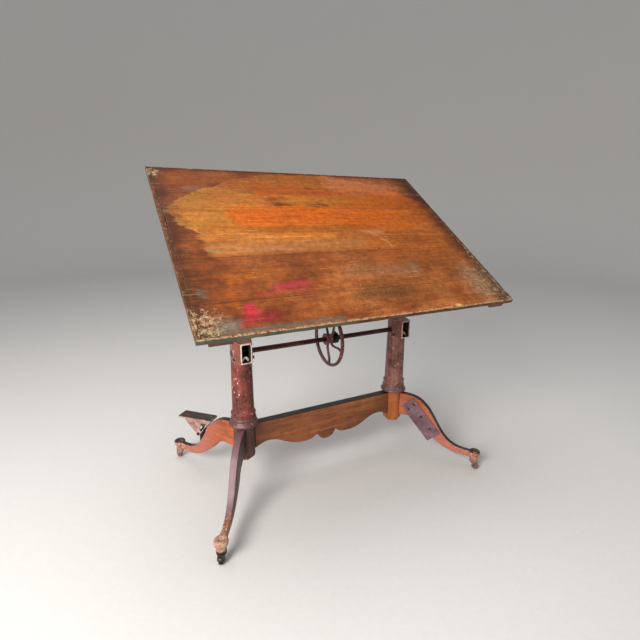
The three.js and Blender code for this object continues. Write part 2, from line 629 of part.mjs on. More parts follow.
// The board is drawn level about the pivot axis, then tilted.
const board = group(table, 0, 0, PIVOT_Z);
board.rotation.x = BOARD_TILT;
const boardUnder = BOARD_ABOVE_PIVOT - BOARD_THICKNESS;
const boardHalf = BOARD_LENGTH / 2;
const panelHalf = boardHalf - END_STRIP - GAP;
const reach = BOARD_WIDTH / 2;
piece(board, 'drawing_board',
  block(-panelHalf, panelHalf, -reach, reach, boardUnder, BOARD_ABOVE_PIVOT), varnishedPine);
for (const [name, side] of [['left', -1], ['right', 1]]) {
  const stripAt = side * (boardHalf - END_STRIP / 2);
  const battenAt = side * (boardHalf - BATTEN_INSET - BATTEN_WIDTH / 2);
  const battenTop = boardUnder - GAP;
  piece(group(board, stripAt, 0, 0), `${name}_end_strip`,
    block(-END_STRIP / 2, END_STRIP / 2, -reach, reach, boardUnder, BOARD_ABOVE_PIVOT), edgeWood);
  const batten = block(-BATTEN_WIDTH / 2, BATTEN_WIDTH / 2, -reach + 4, reach - 4,
    battenTop - BATTEN_THICKNESS, battenTop);
  piece(group(board, battenAt, 0, 0), `${name}_batten`, batten, battenWood);
  piece(group(board, side * POST_X, 0, 0), `${name}_hinge_plate`, hingePlate(side), paintedIron);
}

export default table;
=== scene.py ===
import json
import math
from collections import namedtuple

import bmesh
import bpy
from mathutils import Matrix, Vector, noise


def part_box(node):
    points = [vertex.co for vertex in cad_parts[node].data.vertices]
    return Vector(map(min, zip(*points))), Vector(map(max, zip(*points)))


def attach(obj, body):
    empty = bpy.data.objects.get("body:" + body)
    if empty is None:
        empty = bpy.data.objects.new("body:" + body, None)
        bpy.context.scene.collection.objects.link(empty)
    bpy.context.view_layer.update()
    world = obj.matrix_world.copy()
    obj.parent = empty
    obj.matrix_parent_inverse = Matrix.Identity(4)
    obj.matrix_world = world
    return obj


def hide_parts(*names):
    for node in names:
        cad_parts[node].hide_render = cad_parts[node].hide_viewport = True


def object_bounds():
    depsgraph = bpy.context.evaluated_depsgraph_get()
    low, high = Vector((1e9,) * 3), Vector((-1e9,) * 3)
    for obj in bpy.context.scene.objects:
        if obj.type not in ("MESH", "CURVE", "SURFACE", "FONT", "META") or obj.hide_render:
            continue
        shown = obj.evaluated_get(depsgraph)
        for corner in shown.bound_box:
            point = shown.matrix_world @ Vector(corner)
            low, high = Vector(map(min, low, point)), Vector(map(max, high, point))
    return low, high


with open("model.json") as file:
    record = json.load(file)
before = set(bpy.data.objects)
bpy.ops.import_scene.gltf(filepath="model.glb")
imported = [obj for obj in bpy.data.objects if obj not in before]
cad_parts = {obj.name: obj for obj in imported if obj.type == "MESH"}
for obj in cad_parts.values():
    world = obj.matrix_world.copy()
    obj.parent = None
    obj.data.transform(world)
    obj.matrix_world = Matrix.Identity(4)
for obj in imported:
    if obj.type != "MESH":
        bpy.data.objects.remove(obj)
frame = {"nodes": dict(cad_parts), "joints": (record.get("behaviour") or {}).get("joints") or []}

CAD_LOW, CAD_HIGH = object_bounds()

# ---------------------------------------------------------------- camera
CAMERA_PLACE = (-1.0353, -1.8413, 1.3871)
CAMERA_YAW = math.radians(28.17)  # to the right of straight ahead
CAMERA_PITCH = math.radians(14.73)  # downwards
CAMERA_ROLL = math.radians(0.49)
CAMERA_LENS = 24.15


def add_object(name, data):
    made = bpy.data.objects.new(name, data)
    bpy.context.scene.collection.objects.link(made)
    return made


def make_camera():
    data = bpy.data.cameras.new("camera")
    data.lens = CAMERA_LENS
    data.clip_end = 100
    camera = add_object("camera", data)
    turn = Matrix.Rotation(-CAMERA_YAW, 4, "Z") @ Matrix.Rotation(math.pi / 2 - CAMERA_PITCH, 4, "X")
    camera.matrix_world = Matrix.Translation(CAMERA_PLACE) @ turn @ Matrix.Rotation(CAMERA_ROLL, 4, "Z")
    bpy.context.scene.camera = camera


make_camera()


# ---------------------------------------------------------------- facts from the frame
def largest_face(node):
    """Centre and normal of a node's largest flat face."""
    face = max(frame["nodes"][node].data.polygons, key=lambda polygon: polygon.area)
    return Vector(face.center), Vector(face.normal)


def joint(name):
    return next(each for each in frame["joints"] if each["name"] == name)


BOARD_NORMAL = largest_face("drawing_board")[1]
if BOARD_NORMAL.z < 0:
    BOARD_NORMAL = -BOARD_NORMAL
BOARD_TILT = math.atan2(-BOARD_NORMAL.y, BOARD_NORMAL.z)
PIVOT = Vector(joint("board_tilt")["pos_m"])
BOARD_TO_ROOM = Matrix.Translation(PIVOT) @ Matrix.Rotation(BOARD_TILT, 4, "X")
ROOM_TO_BOARD = BOARD_TO_ROOM.inverted()


def board_box(node):
    """Lowest and highest corner of a node in the board's own axes, about the pivot."""
    points = [ROOM_TO_BOARD @ vertex.co for vertex in frame["nodes"][node].data.vertices]
    low = Vector([min(point[axis] for point in points) for axis in range(3)])
    high = Vector([max(point[axis] for point in points) for axis in range(3)])
    return low, high


PANEL_LOW, PANEL_HIGH = board_box("drawing_board")
BOARD_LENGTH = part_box("right_end_strip")[1].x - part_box("left_end_strip")[0].x
BOARD_WIDTH = PANEL_HIGH.y - PANEL_LOW.y


# ---------------------------------------------------------------- node helpers
NO_TINT = (1, 1, 1)


def tone(code, tint=NO_TINT):
    """Scene-linear colour of an sRGB hex code, with its red, green and blue each times a share."""
    values = [int(code[i:i + 2], 16) / 255 * share for i, share in zip((0, 2, 4), tint)]
    linear = [v / 12.92 if v <= 0.04045 else ((v + 0.055) / 1.055) ** 2.4 for v in values]
    return (*linear, 1.0)


class Surface:
    """One material. Each method adds a node and gives back its output."""

    def __init__(self, name):
        self.material = bpy.data.materials.new(name)
        self.material.use_nodes = True
        self.tree = self.material.node_tree
        self.tree.nodes.clear()
        self.room = self.node("TexCoord", {}, "Object")

    def node(self, kind, inputs, output=0, **settings):
        made = self.tree.nodes.new("ShaderNode" + kind)
        for key, value in settings.items():
            setattr(made, key, value)
        for socket, value in inputs.items():
            if isinstance(value, bpy.types.NodeSocket):
                self.tree.links.new(value, made.inputs[socket])
            else:
                made.inputs[socket].default_value = value
        return made.outputs[output]

    def place(self, vector, scale=(1, 1, 1), turn=(0, 0, 0), shift=(0, 0, 0)):
        inputs = {"Vector": vector, "Location": shift, "Rotation": turn, "Scale": scale}
        return self.node("Mapping", inputs)

    def noise(self, vector, scale=1.0, detail=3.0, rough=0.5, warp=0.0):
        inputs = {"Vector": vector, "Scale": scale, "Detail": detail, "Roughness": rough, "Distortion": warp}
        return self.node("TexNoise", inputs, "Fac")

    def cells(self, vector, scale):
        """Distance to the nearest of a scatter of points."""
        return self.node("TexVoronoi", {"Vector": vector, "Scale": scale}, "Distance", feature="F1")

    def band(self, value, low, high, start=0.0, end=1.0):
        """Smooth step from start at low to end at high."""
        inputs = {"Value": value, "From Min": low, "From Max": high, "To Min": start, "To Max": end}
        return self.node("MapRange", inputs, interpolation_type="SMOOTHSTEP")

    def maths(self, operation, first, second=0.0):
        return self.node("Math", {0: first, 1: second}, operation=operation)

    def times(self, *values):
        product = values[0]
        for value in values[1:]:
            product = self.maths("MULTIPLY", product, value)
        return product

    def vector(self, operation, first, second=(0, 0, 0), output="Vector"):
        return self.node("VectorMath", {0: first, 1: second}, output, operation=operation)

    def mix(self, share, under, over, blend="MIX"):
        inputs = {0: share, 6: under, 7: over}
        return self.node("Mix", inputs, 2, data_type="RGBA", blend_type=blend)

    def shade(self, colour, factor):
        """Colour times a grey factor."""
        grey = self.node("CombineColor", {"Red": factor, "Green": factor, "Blue": factor})
        return self.mix(1.0, colour, grey, "MULTIPLY")

    def ramp(self, value, stops):
        made = self.tree.nodes.new("ShaderNodeValToRGB")
        self.tree.links.new(value, made.inputs[0])
        points = made.color_ramp.elements
        for index, (position, code) in enumerate(stops):
            point = points[index] if index < 2 else points.new(position)
            point.position = position
            point.color = tone(code)
        return made.outputs[0]

    def part(self, vector, axis):
        return self.node("SeparateXYZ", {"Vector": vector}, axis)

    def facing_up(self):
        return self.part(self.node("NewGeometry", {}, "Normal"), "Z")

    def rim(self, radius, low=0.97, high=0.8):
        """1 on the piece's edges, 0 on its faces."""
        rounded = self.node("Bevel", {"Radius": radius}, samples=4)
        flat = self.node("NewGeometry", {}, "Normal")
        return self.band(self.vector("DOT_PRODUCT", rounded, flat, "Value"), low, high)

    def patch(self, where, at, half, corner, soft, turn=0.0):
        """1 inside a rounded rectangle about a point, fading over a soft outline."""
        inputs = {"Vector": where, "Location": (*at, 0), "Rotation": (0, 0, turn), "Scale": (1, 1, 1)}
        local = self.node("Mapping", inputs, vector_type="TEXTURE")
        inner = (half[0] - corner, half[1] - corner, 10)
        outside = self.vector("MAXIMUM", self.vector("SUBTRACT", self.vector("ABSOLUTE", local), inner))
        return self.band(self.vector("LENGTH", outside, output="Value"), corner + soft / 2, corner - soft / 2)

    def bump(self, height, distance):
        return self.node("Bump", {"Height": height, "Distance": distance, "Strength": 1.0})

    def finish(self, colour, roughness, normal, **uniform):
        inputs = {"Base Color": colour, "Roughness": roughness, "Normal": normal}
        shader = self.node("BsdfPrincipled", {**inputs, **uniform})
        end = self.tree.nodes.new("ShaderNodeOutputMaterial")
        self.tree.links.new(shader, end.inputs["Surface"])
        return self.material


# ---------------------------------------------------------------- board finish
# A stain on the board's face: its tone, centre and half sizes in metres from the back left corner,
# corner radius, softness of its outline, turn in degrees, and strength.
Stain = namedtuple("Stain", "tone at half corner soft turn strength")

WORN_TINT = (0.926, 0.833, 0.515)
WORN_STAINS = (
    Stain("8f5a30", (0.62, 0.10), (0.64, 0.12), 0.08, 0.12, 0, 0.9),  # tan top of the worn part
    Stain("a47244", (0.26, 0.33), (0.22, 0.17), 0.12, 0.12, 0, 0.9),  # golden left end
    Stain("b8864e", (0.20, 0.43), (0.12, 0.06), 0.05, 0.08, 8, 0.75),
    Stain("b37f46", (0.27, 0.34), (0.09, 0.05), 0.04, 0.07, -10, 0.6),
    Stain("94703c", (0.17, 0.26), (0.10, 0.05), 0.04, 0.08, -20, 0.6),
    Stain("a9723c", (0.84, 0.255), (0.27, 0.050), 0.02, 0.03, 0, 0.75),  # bare tan plank
    Stain("a84e1c", (0.72, 0.18), (0.26, 0.030), 0.02, 0.05, 0, 0.8),
    Stain("c4641a", (0.76, 0.385), (0.46, 0.070), 0.04, 0.07, 0, 0.95),  # strongest orange
    Stain("d06a12", (0.41, 0.40), (0.10, 0.052), 0.03, 0.05, 0, 0.85),
    Stain("cc6c1c", (0.60, 0.345), (0.22, 0.024), 0.02, 0.03, 0, 0.6),
    Stain("b4611f", (1.22, 0.37), (0.26, 0.18), 0.08, 0.16, 0, 0.85),
    Stain("b06a2c", (0.52, 0.475), (0.36, 0.040), 0.03, 0.06, 0, 0.7),
    Stain("8a5a36", (0.86, 0.500), (0.14, 0.020), 0.02, 0.04, 0, 0.5),
    Stain("34190c", (0.785, 0.298), (0.060, 0.010), 0.01, 0.03, 0, 0.9),  # dark knots
    Stain("3c1e0e", (0.57, 0.292), (0.045, 0.010), 0.01, 0.03, 0, 0.8),
    Stain("5a301a", (0.56, 0.240), (0.05, 0.012), 0.01, 0.03, -25, 0.6),
    Stain("5e3218", (0.78, 0.150), (0.03, 0.012), 0.01, 0.02, 20, 0.5),
)

BAND_TINT = (0.949, 0.864, 0.705)
BAND_STAINS = (
    Stain("bf7c34", (0.45, 0.545), (0.31, 0.024), 0.01, 0.03, 0, 0.9),  # yellow stripe
    Stain("cf9c5c", (0.52, 0.540), (0.24, 0.005), 0.005, 0.01, 0, 0.6),
    Stain("9c7450", (0.50, 0.600), (0.42, 0.032), 0.01, 0.04, 0, 0.85),  # greyed stripe
    Stain("bd9872", (0.33, 0.626), (0.19, 0.008), 0.005, 0.014, 1.5, 0.7),
    Stain("94684c", (0.62, 0.640), (0.30, 0.012), 0.01, 0.02, 1, 0.6),
)

FACE_STAINS = (
    Stain("a2581e", (1.20, 0.60), (0.30, 0.13), 0.12, 0.20, 0, 0.8),  # orange right of the stripes
    Stain("8c4c24", (0.72, 0.70), (0.52, 0.060), 0.05, 0.09, 0, 0.6),
    Stain("7e4218", (0.21, 0.085), (0.19, 0.045), 0.03, 0.06, 0, 0.85),  # warmer back corner
    Stain("66563e", (0.17, 0.178), (0.05, 0.018), 0.015, 0.03, -12, 0.6),  # grey smudge
    Stain("a4603a", (1.14, 0.100), (0.24, 0.070), 0.05, 0.09, 0, 0.7),  # pinkish strokes
    Stain("a86a52", (1.05, 0.060), (0.12, 0.014), 0.01, 0.03, 4, 0.7),
    Stain("a86048", (1.24, 0.120), (0.08, 0.012), 0.01, 0.03, -6, 0.7),
    Stain("b0562a", (1.18, 0.165), (0.20, 0.016), 0.01, 0.04, 0, 0.7),
    Stain("3a2418", (1.50, 0.09), (0.07, 0.11), 0.05, 0.10, 0, 0.8),
    Stain("b07a5c", (1.015, 0.525), (0.060, 0.014), 0.012, 0.03, 6, 0.65),
    Stain("94501a", (0.30, 0.765), (0.15, 0.034), 0.03, 0.06, 0, 0.75),  # gold-speckled arc
    Stain("9a4c14", (0.176, 0.86), (0.014, 0.09), 0.012, 0.03, 4, 0.8),
    Stain("90684a", (0.90, 0.80), (0.21, 0.030), 0.03, 0.08, 3, 0.65),  # rubbed grey patch
    Stain("846a4e", (1.08, 0.79), (0.03, 0.030), 0.02, 0.04, 0, 0.6),
    Stain("4e3c22", (0.82, 0.93), (0.13, 0.045), 0.04, 0.10, 0, 0.6),  # olive blotch
    Stain("86522a", (1.08, 0.95), (0.12, 0.060), 0.05, 0.10, 0, 0.5),
    Stain("86684e", (1.43, 0.93), (0.11, 0.13), 0.08, 0.14, 0, 0.7),
    Stain("a08a74", (1.50, 0.94), (0.014, 0.13), 0.01, 0.03, 0, 0.6),
    Stain("a4283a", (0.425, 0.845), (0.070, 0.017), 0.015, 0.04, -14, 0.9),  # crimson smear
    Stain("9c2a36", (0.345, 0.868), (0.070, 0.010), 0.01, 0.03, -14, 0.7),
    Stain("8c2c30", (0.470, 0.870), (0.040, 0.034), 0.03, 0.06, 0, 0.55),
    Stain("b02638", (0.215, 0.965), (0.028, 0.042), 0.025, 0.03, 38, 0.95),
    Stain("a02834", (0.235, 1.000), (0.070, 0.020), 0.018, 0.05, 0, 0.7),
    Stain("7c2426", (0.300, 1.000), (0.050, 0.024), 0.02, 0.05, 0, 0.6),
    Stain("506a62", (0.078, 0.850), (0.008, 0.026), 0.007, 0.014, 0, 0.9),  # teal paint
    Stain("5c6a60", (0.30, 1.046), (0.28, 0.012), 0.01, 0.02, 0, 0.7),
    Stain("66746a", (0.11, 1.015), (0.05, 0.034), 0.03, 0.05, 0, 0.6),
    Stain("4c2610", (1.330, 0.42), (0.0020, 0.12), 0.001, 0.002, 0, 0.8),  # long score
    Stain("d8a468", (1.020, 0.600), (0.0025, 0.045), 0.002, 0.002, -24, 0.8),  # scrape
    Stain("dcb860", (1.155, 1.056), (0.016, 0.005), 0.002, 0.003, 0, 1.0),  # bare chip on the edge
)

SEAMS = (0.320, 0.660, 0.905)  # glue lines between the panel's planks, from the back edge
KNOT_HOLE = (0.962, 0.647)
WORN_ARC_MIDDLE = (0.80, 1.085, 0)
WORN_ARC_RADIUS = 1.077


def board_place(s):
    """Metres from the board's back left corner: X along it, Y down the slope, Z above its face."""
    unturned = Matrix.Rotation(-BOARD_TILT, 3, "X")
    local = s.place(s.room, turn=(-BOARD_TILT, 0, 0), shift=-(unturned @ PIVOT))
    shift = (BOARD_LENGTH / 2, BOARD_WIDTH / 2, -PANEL_HIGH.z)
    return s.place(local, scale=(1, -1, 1), shift=shift)


def add_stains(s, colour, where, stains, brush, tint=NO_TINT):
    for stain in stains:
        mask = s.patch(where, stain.at, stain.half, stain.corner, stain.soft, math.radians(stain.turn))
        colour = s.mix(s.times(mask, brush, stain.strength), colour, tone(stain.tone, tint))
    return colour


def brushed(s, where):
    """The board's coordinates pushed about along the grain, so that outlines come out streaky."""
    drift = s.band(s.noise(s.place(where, scale=(4, 11, 1)), detail=5.0, rough=0.6), 0.2, 0.8, -0.034, 0.034)
    comb = s.band(s.noise(s.place(where, scale=(7, 240, 1)), detail=3.0), 0.25, 0.75, -0.014, 0.014)
    along = s.maths("ADD", drift, comb)
    across = s.band(s.noise(s.place(where, scale=(9, 15, 1)), detail=6.0, rough=0.65), 0.2, 0.8, -0.012, 0.012)
    return s.vector("ADD", where, s.node("CombineXYZ", {"X": along, "Y": across}))


def worn_part(s, where):
    """The part of the face rubbed down to light wood: a round-backed area and a band below it."""
    arc = s.vector("DISTANCE", s.vector("MULTIPLY", where, (1, 1, 0)), WORN_ARC_MIDDLE, "Value")
    inside = s.band(arc, WORN_ARC_RADIUS + 0.005, WORN_ARC_RADIUS - 0.005)
    area = s.patch(where, (0.78, 0.24), (0.735, 0.272), 0.17, 0.02)
    return s.times(inside, area)


def scratches(s, where, turn, scale, low, high):
    lines = s.noise(s.place(where, turn=(0, 0, turn), scale=scale), detail=1.0)
    return s.band(lines, low, high)


def board_finish(name, grain_turn):
    s = Surface(name)
    where = board_place(s)
    streaky = brushed(s, where)
    along = s.place(where, turn=(0, 0, grain_turn))
    fibre = s.noise(s.place(along, scale=(6, 330, 60)), detail=5.0, rough=0.62)
    figure = s.noise(s.place(along, scale=(1.3, 26, 20)), detail=4.0, warp=0.8)
    cloud = s.noise(where, 5.0, detail=5.0, rough=0.6)

    far = s.ramp(cloud, ((0.28, "45200e"), (0.5, "723916"), (0.72, "8f4d22")))
    near = s.ramp(cloud, ((0.28, "5a2f17"), (0.5, "8b4d23"), (0.72, "ac6636")))
    # lighter varnish tones towards the near edge and the right
    lighter_near_edge = s.times(s.band(s.part(where, "Y"), 0.52, 0.68), s.band(s.part(where, "X"), 0.15, 0.80, 0.1, 1.0))
    varnish = s.mix(lighter_near_edge, far, near)
    bare = s.ramp(cloud, ((0.3, "864212"), (0.5, "a05318"), (0.7, "b0631e")))
    worn = worn_part(s, streaky)
    lower_band = s.patch(streaky, (0.66, 0.577), (0.52, 0.074), 0.02, 0.03)
    lower_fade = s.band(s.part(streaky, "X"), 1.20, 0.85)
    strokes = s.noise(s.place(where, scale=(6, 70, 1)), detail=6.0, rough=0.7)
    brush = s.band(strokes, 0.34, 0.62, 0.45, 1.0)
    bare = add_stains(s, bare, streaky, WORN_STAINS, brush, WORN_TINT)
    striped = add_stains(s, s.mix(0.5, bare, tone("a8682e")), streaky, BAND_STAINS, brush, BAND_TINT)
    fading = s.band(s.part(streaky, "X"), 1.50, 1.20, 0.45, 1.0)
    colour = s.mix(s.times(worn, fading), varnish, bare)
    colour = s.mix(s.times(lower_band, lower_fade, 0.95), colour, striped)
    colour = add_stains(s, colour, streaky, FACE_STAINS, brush)

    # light line where the varnish ends round the golden end of the worn part
    lip = s.times(s.band(worn, 0.1, 0.5), s.band(worn, 0.9, 0.5), s.band(s.part(where, "X"), 0.5, 0.2))
    colour = s.mix(s.times(lip, 0.45), colour, tone("c8a468"))

    # dark border, heavier at the left and the right end
    border_x = s.maths("MAXIMUM", s.band(s.part(streaky, "X"), 0.11, 0.02), s.band(s.part(streaky, "X"), 1.40, 1.50))
    border_y = s.band(s.part(streaky, "Y"), 0.035, 0.004)
    colour = s.mix(s.times(border_x, 0.7), colour, tone("2f1b12"))
    colour = s.mix(s.times(border_y, 0.65), colour, tone("33190e"))

    # wood grain over everything, and dark glue lines between planks
    fine = s.noise(where, 300.0, detail=3.0, rough=0.7)
    colour = s.shade(colour, s.band(fibre, 0.28, 0.72, 0.72, 1.26))
    colour = s.shade(colour, s.band(figure, 0.25, 0.75, 0.84, 1.16))
    rubbed = s.noise(where, 34.0, detail=8.0, rough=0.80)
    colour = s.shade(colour, s.band(rubbed, 0.34, 0.66, 0.72, 1.26))
    colour = s.shade(colour, s.band(fine, 0.35, 0.65, 0.80, 1.18))
    seam = 0.0
    for offset in SEAMS:
        line = s.patch(where, (BOARD_LENGTH / 2, offset), (BOARD_LENGTH, 0.0014), 0.001, 0.002)
        seam = line if seam == 0.0 else s.maths("MAXIMUM", seam, line)
    colour = s.mix(s.times(seam, 0.55), colour, tone("2b140a"))

    # drafting scratches, specks of old paint and flaking near the edges
    broken = s.band(s.noise(where, 9.0, detail=3.0), 0.48, 0.60)
    marks = s.maths("MAXIMUM", scratches(s, where, 0.45, (3, 190, 1), 0.69, 0.75),
                    scratches(s, where, -1.1, (4, 170, 1), 0.70, 0.76))
    marks = s.maths("MAXIMUM", marks, scratches(s, where, 1.45, (5, 210, 1), 0.70, 0.76))
    colour = s.mix(s.times(marks, broken, 0.55), colour, tone("d09a5c"))
    cuts = s.maths("MAXIMUM", scratches(s, where, 0.08, (1.5, 260, 1), 0.67, 0.73),
                   scratches(s, where, 1.57, (2, 120, 1), 0.70, 0.75))
    colour = s.mix(s.times(cuts, 0.4), colour, tone("2c160c"))
    specks = s.band(s.cells(where, 140.0), 0.17, 0.09)
    scattered = s.band(s.noise(where, 4.5, detail=3.0), 0.53, 0.63)
    colour = s.mix(s.times(specks, scattered, 0.8), colour, tone("e0b070"))
    dots = s.times(s.band(s.cells(s.place(where, shift=(7, 2, 0)), 60.0), 0.16, 0.10), s.band(fine, 0.5, 0.56))
    colour = s.mix(s.times(dots, scattered, 0.8), colour, tone("ead2ac"))
    pits = s.band(s.cells(s.place(where, shift=(3, 5, 0)), 110.0), 0.14, 0.07)
    colour = s.mix(s.times(pits, broken, 0.7), colour, tone("24120a"))
    left_end = s.band(s.part(where, "X"), 0.040, 0.0, 0.0, 0.6)
    right_end = s.times(s.band(s.part(where, "X"), 1.42, 1.524), s.band(s.part(where, "Y"), 0.2, 0.9, 0.2, 0.9))
    ends = s.maths("MAXIMUM", left_end, right_end)
    corner = s.patch(where, (0.045, 1.005), (0.065, 0.075), 0.06, 0.14)
    corner = s.maths("MAXIMUM", corner, s.patch(where, (0.02, 0.045), (0.035, 0.035), 0.03, 0.06))
    right_corner = s.patch(where, (1.42, 0.93), (0.10, 0.13), 0.08, 0.16)
    edges = s.band(s.part(where, "Y"), 1.050, 1.064)
    flaky = s.maths("MAXIMUM", s.times(ends, 0.55), s.times(corner, 0.85))
    flaky = s.maths("MAXIMUM", flaky, s.maths("MAXIMUM", s.times(edges, 0.9), s.times(right_corner, 0.5)))
    chips = s.maths("ADD", s.times(s.noise(where, 46.0, detail=5.0, rough=0.7), 0.5), s.times(fine, 0.5))
    flakes = s.times(s.band(s.maths("ADD", chips, s.times(flaky, 0.13)), 0.60, 0.64), s.band(flaky, 0.05, 0.4))
    flake_tone = s.ramp(fine, ((0.35, "8a7458"), (0.5, "b49670"), (0.65, "d8c29c")))
    colour = s.mix(s.times(flakes, 0.85), colour, flake_tone)
    hole = s.patch(where, KNOT_HOLE, (0.004, 0.004), 0.0035, 0.003)
    colour = s.mix(hole, colour, tone("150b07"))

    # sides and underside
    height = s.part(where, "Z")
    side_wood = s.ramp(s.noise(s.place(along, scale=(8, 60, 240)), detail=4.0),
                       ((0.3, "2a1710"), (0.5, "5a3a24"), (0.72, "a98a66")))
    teal = s.times(s.band(s.part(streaky, "X"), 0.75, 0.45), s.band(s.part(where, "Y"), 1.05, 1.06))
    side_wood = s.mix(s.times(teal, s.band(chips, 0.35, 0.6), 0.85), side_wood, tone("4f6a5e"))
    colour = s.mix(s.band(height, -0.0012, -0.0030), colour, side_wood)
    beneath = s.ramp(s.noise(s.place(along, scale=(4, 70, 70)), detail=5.0),
                     ((0.3, "4d2f1c"), (0.5, "75502f"), (0.7, "94693f")))
    colour = s.mix(s.band(height, -0.0195, -0.0212), colour, beneath)
    worn_edge = s.rim(0.0025)
    colour = s.mix(s.times(worn_edge, s.band(chips, 0.42, 0.6), 0.8), colour, tone("cdb28c"))

    relief = s.maths("ADD", s.times(fibre, 0.5), s.times(figure, 0.25))
    relief = s.maths("SUBTRACT", relief, s.times(marks, 0.35))
    relief = s.maths("SUBTRACT", relief, s.times(cuts, 0.35))
    relief = s.maths("SUBTRACT", relief, s.times(flakes, 0.5))
    relief = s.maths("SUBTRACT", relief, s.times(hole, 2.0))
    normal = s.bump(relief, 0.0007)
    rough = s.band(s.maths("ADD", s.times(rubbed, 0.6), s.times(fibre, 0.4)), 0.3, 0.7, 0.38, 0.62)
    rough = s.maths("ADD", rough, s.times(flakes, 0.2))
    return s.finish(colour, rough, normal, **{"Specular IOR Level": 0.08})


# ---------------------------------------------------------------- wood finish
def wood_finish(name, heading, tones, scuff, top_tone, top_share, post=None, upright=False, roughness=0.42,
                foot=None, shade_and_grime_ends=None):
    """Old oiled timber. The grain runs along the heading, or upwards, and hands and boots scuff it."""
    s = Surface(name)
    turn = (0, math.pi / 2, 0) if upright else (0, 0, -heading)
    start = Vector((0, 0, 0)) if post is None else Matrix.Rotation(-heading, 3, "Z") @ post
    along = s.place(s.room, turn=turn, shift=-start)
    fibre = s.noise(s.place(along, scale=(7, 190, 190)), detail=5.0, rough=0.62)
    figure = s.noise(s.place(along, scale=(2.2, 26, 26)), detail=3.0, warp=1.1)
    cloud = s.noise(s.room, 9.0, detail=5.0, rough=0.6)
    fine = s.noise(s.room, 160.0, detail=4.0, rough=0.7)
    chips = s.noise(s.room, 60.0, detail=5.0, rough=0.7)
    dark, middle, light = tones
    colour = s.ramp(s.maths("ADD", s.times(figure, 0.55), s.times(cloud, 0.45)),
                    ((0.32, dark), (0.5, middle), (0.68, light)))
    colour = s.shade(colour, s.band(fibre, 0.2, 0.8, 0.66, 1.2))
    rubbed = s.times(s.band(s.noise(s.room, 6.0, detail=6.0, rough=0.65), 0.46, 0.60), 0.55)
    if post is not None:
        out = s.part(along, "X")
        rubbed = s.maths("MAXIMUM", rubbed, s.times(s.band(out, 0.17, 0.30), s.band(fine, 0.3, 0.6, 0.55, 0.9)))
    colour = s.mix(rubbed, colour, tone(scuff))
    pores = s.band(s.noise(s.place(along, scale=(40, 620, 620)), detail=1.0), 0.60, 0.68)
    colour = s.mix(s.times(pores, 0.6), colour, tone("1f0f08"))
    # painted shadow of the table and grime: darker towards both hubs
    if shade_and_grime_ends is not None:
        off_middle = s.maths("ABSOLUTE", s.part(s.room, "X"))
        colour = s.mix(s.times(s.band(off_middle, *shade_and_grime_ends), 0.7), colour, tone(dark))
    upward = s.facing_up()
    grime = s.times(s.band(upward, 0.30, 0.55), s.band(chips, 0.30, 0.52, 0.72, 1.0), top_share)
    colour = s.mix(grime, colour, tone(top_tone))
    if post is not None:
        toe = s.times(s.band(out, 0.430, 0.462), s.band(chips, 0.50, 0.56), s.band(upward, 0.75, 0.3))
        ankle = s.times(s.band(out, 0.30, 0.40), s.band(chips, 0.60, 0.64))
        if foot is not None:
            ragged = s.maths("ADD", out, s.band(chips, 0.3, 0.7, -0.03, 0.03))
            colour = s.mix(s.band(ragged, 0.365, 0.375), colour, tone(foot[0]))
            colour = s.mix(s.band(ragged, 0.440, 0.450), colour, tone(foot[1]))
            flakes = s.times(s.band(ragged, 0.36, 0.38), s.band(fine, 0.54, 0.58))
            colour = s.mix(s.times(flakes, 0.8), colour, tone("d8b48c"))
        colour = s.mix(s.times(s.maths("MAXIMUM", toe, ankle), 0.85), colour, tone("caa684"))
        lip = s.times(s.band(out, 0.462, 0.468), s.rim(0.004, 0.985, 0.9))
        colour = s.mix(s.times(lip, 0.75), colour, tone("d8bc98"))
    edge = s.times(s.rim(0.003), s.band(chips, 0.40, 0.60))
    colour = s.mix(s.times(edge, 0.75), colour, tone("c99a76"))
    # painted shade: faces turned downwards are darkened
    underside_shade = s.times(s.band(upward, -0.3, -0.8), 0.55)
    colour = s.mix(underside_shade, colour, tone("2a1a12"))
    dents = s.band(s.noise(s.room, 34.0, detail=2.0), 0.30, 0.22)
    relief = s.maths("SUBTRACT", s.times(fibre, 0.6), s.times(dents, 0.8))
    relief = s.maths("SUBTRACT", relief, s.times(pores, 0.4))
    normal = s.bump(relief, 0.0006)
    mottle = s.maths("ADD", s.times(cloud, 0.5), s.times(fine, 0.5))
    rough = s.band(mottle, 0.35, 0.65, roughness - 0.1, roughness + 0.14)
    rough = s.maths("ADD", rough, s.times(rubbed, 0.1))
    return s.finish(colour, rough, normal, **{"Coat Weight": 0.15, "Coat Roughness": 0.3})


# ---------------------------------------------------------------- iron finishes
Zone = namedtuple("Zone", "low high tone share")  # a belt of another tone between two heights


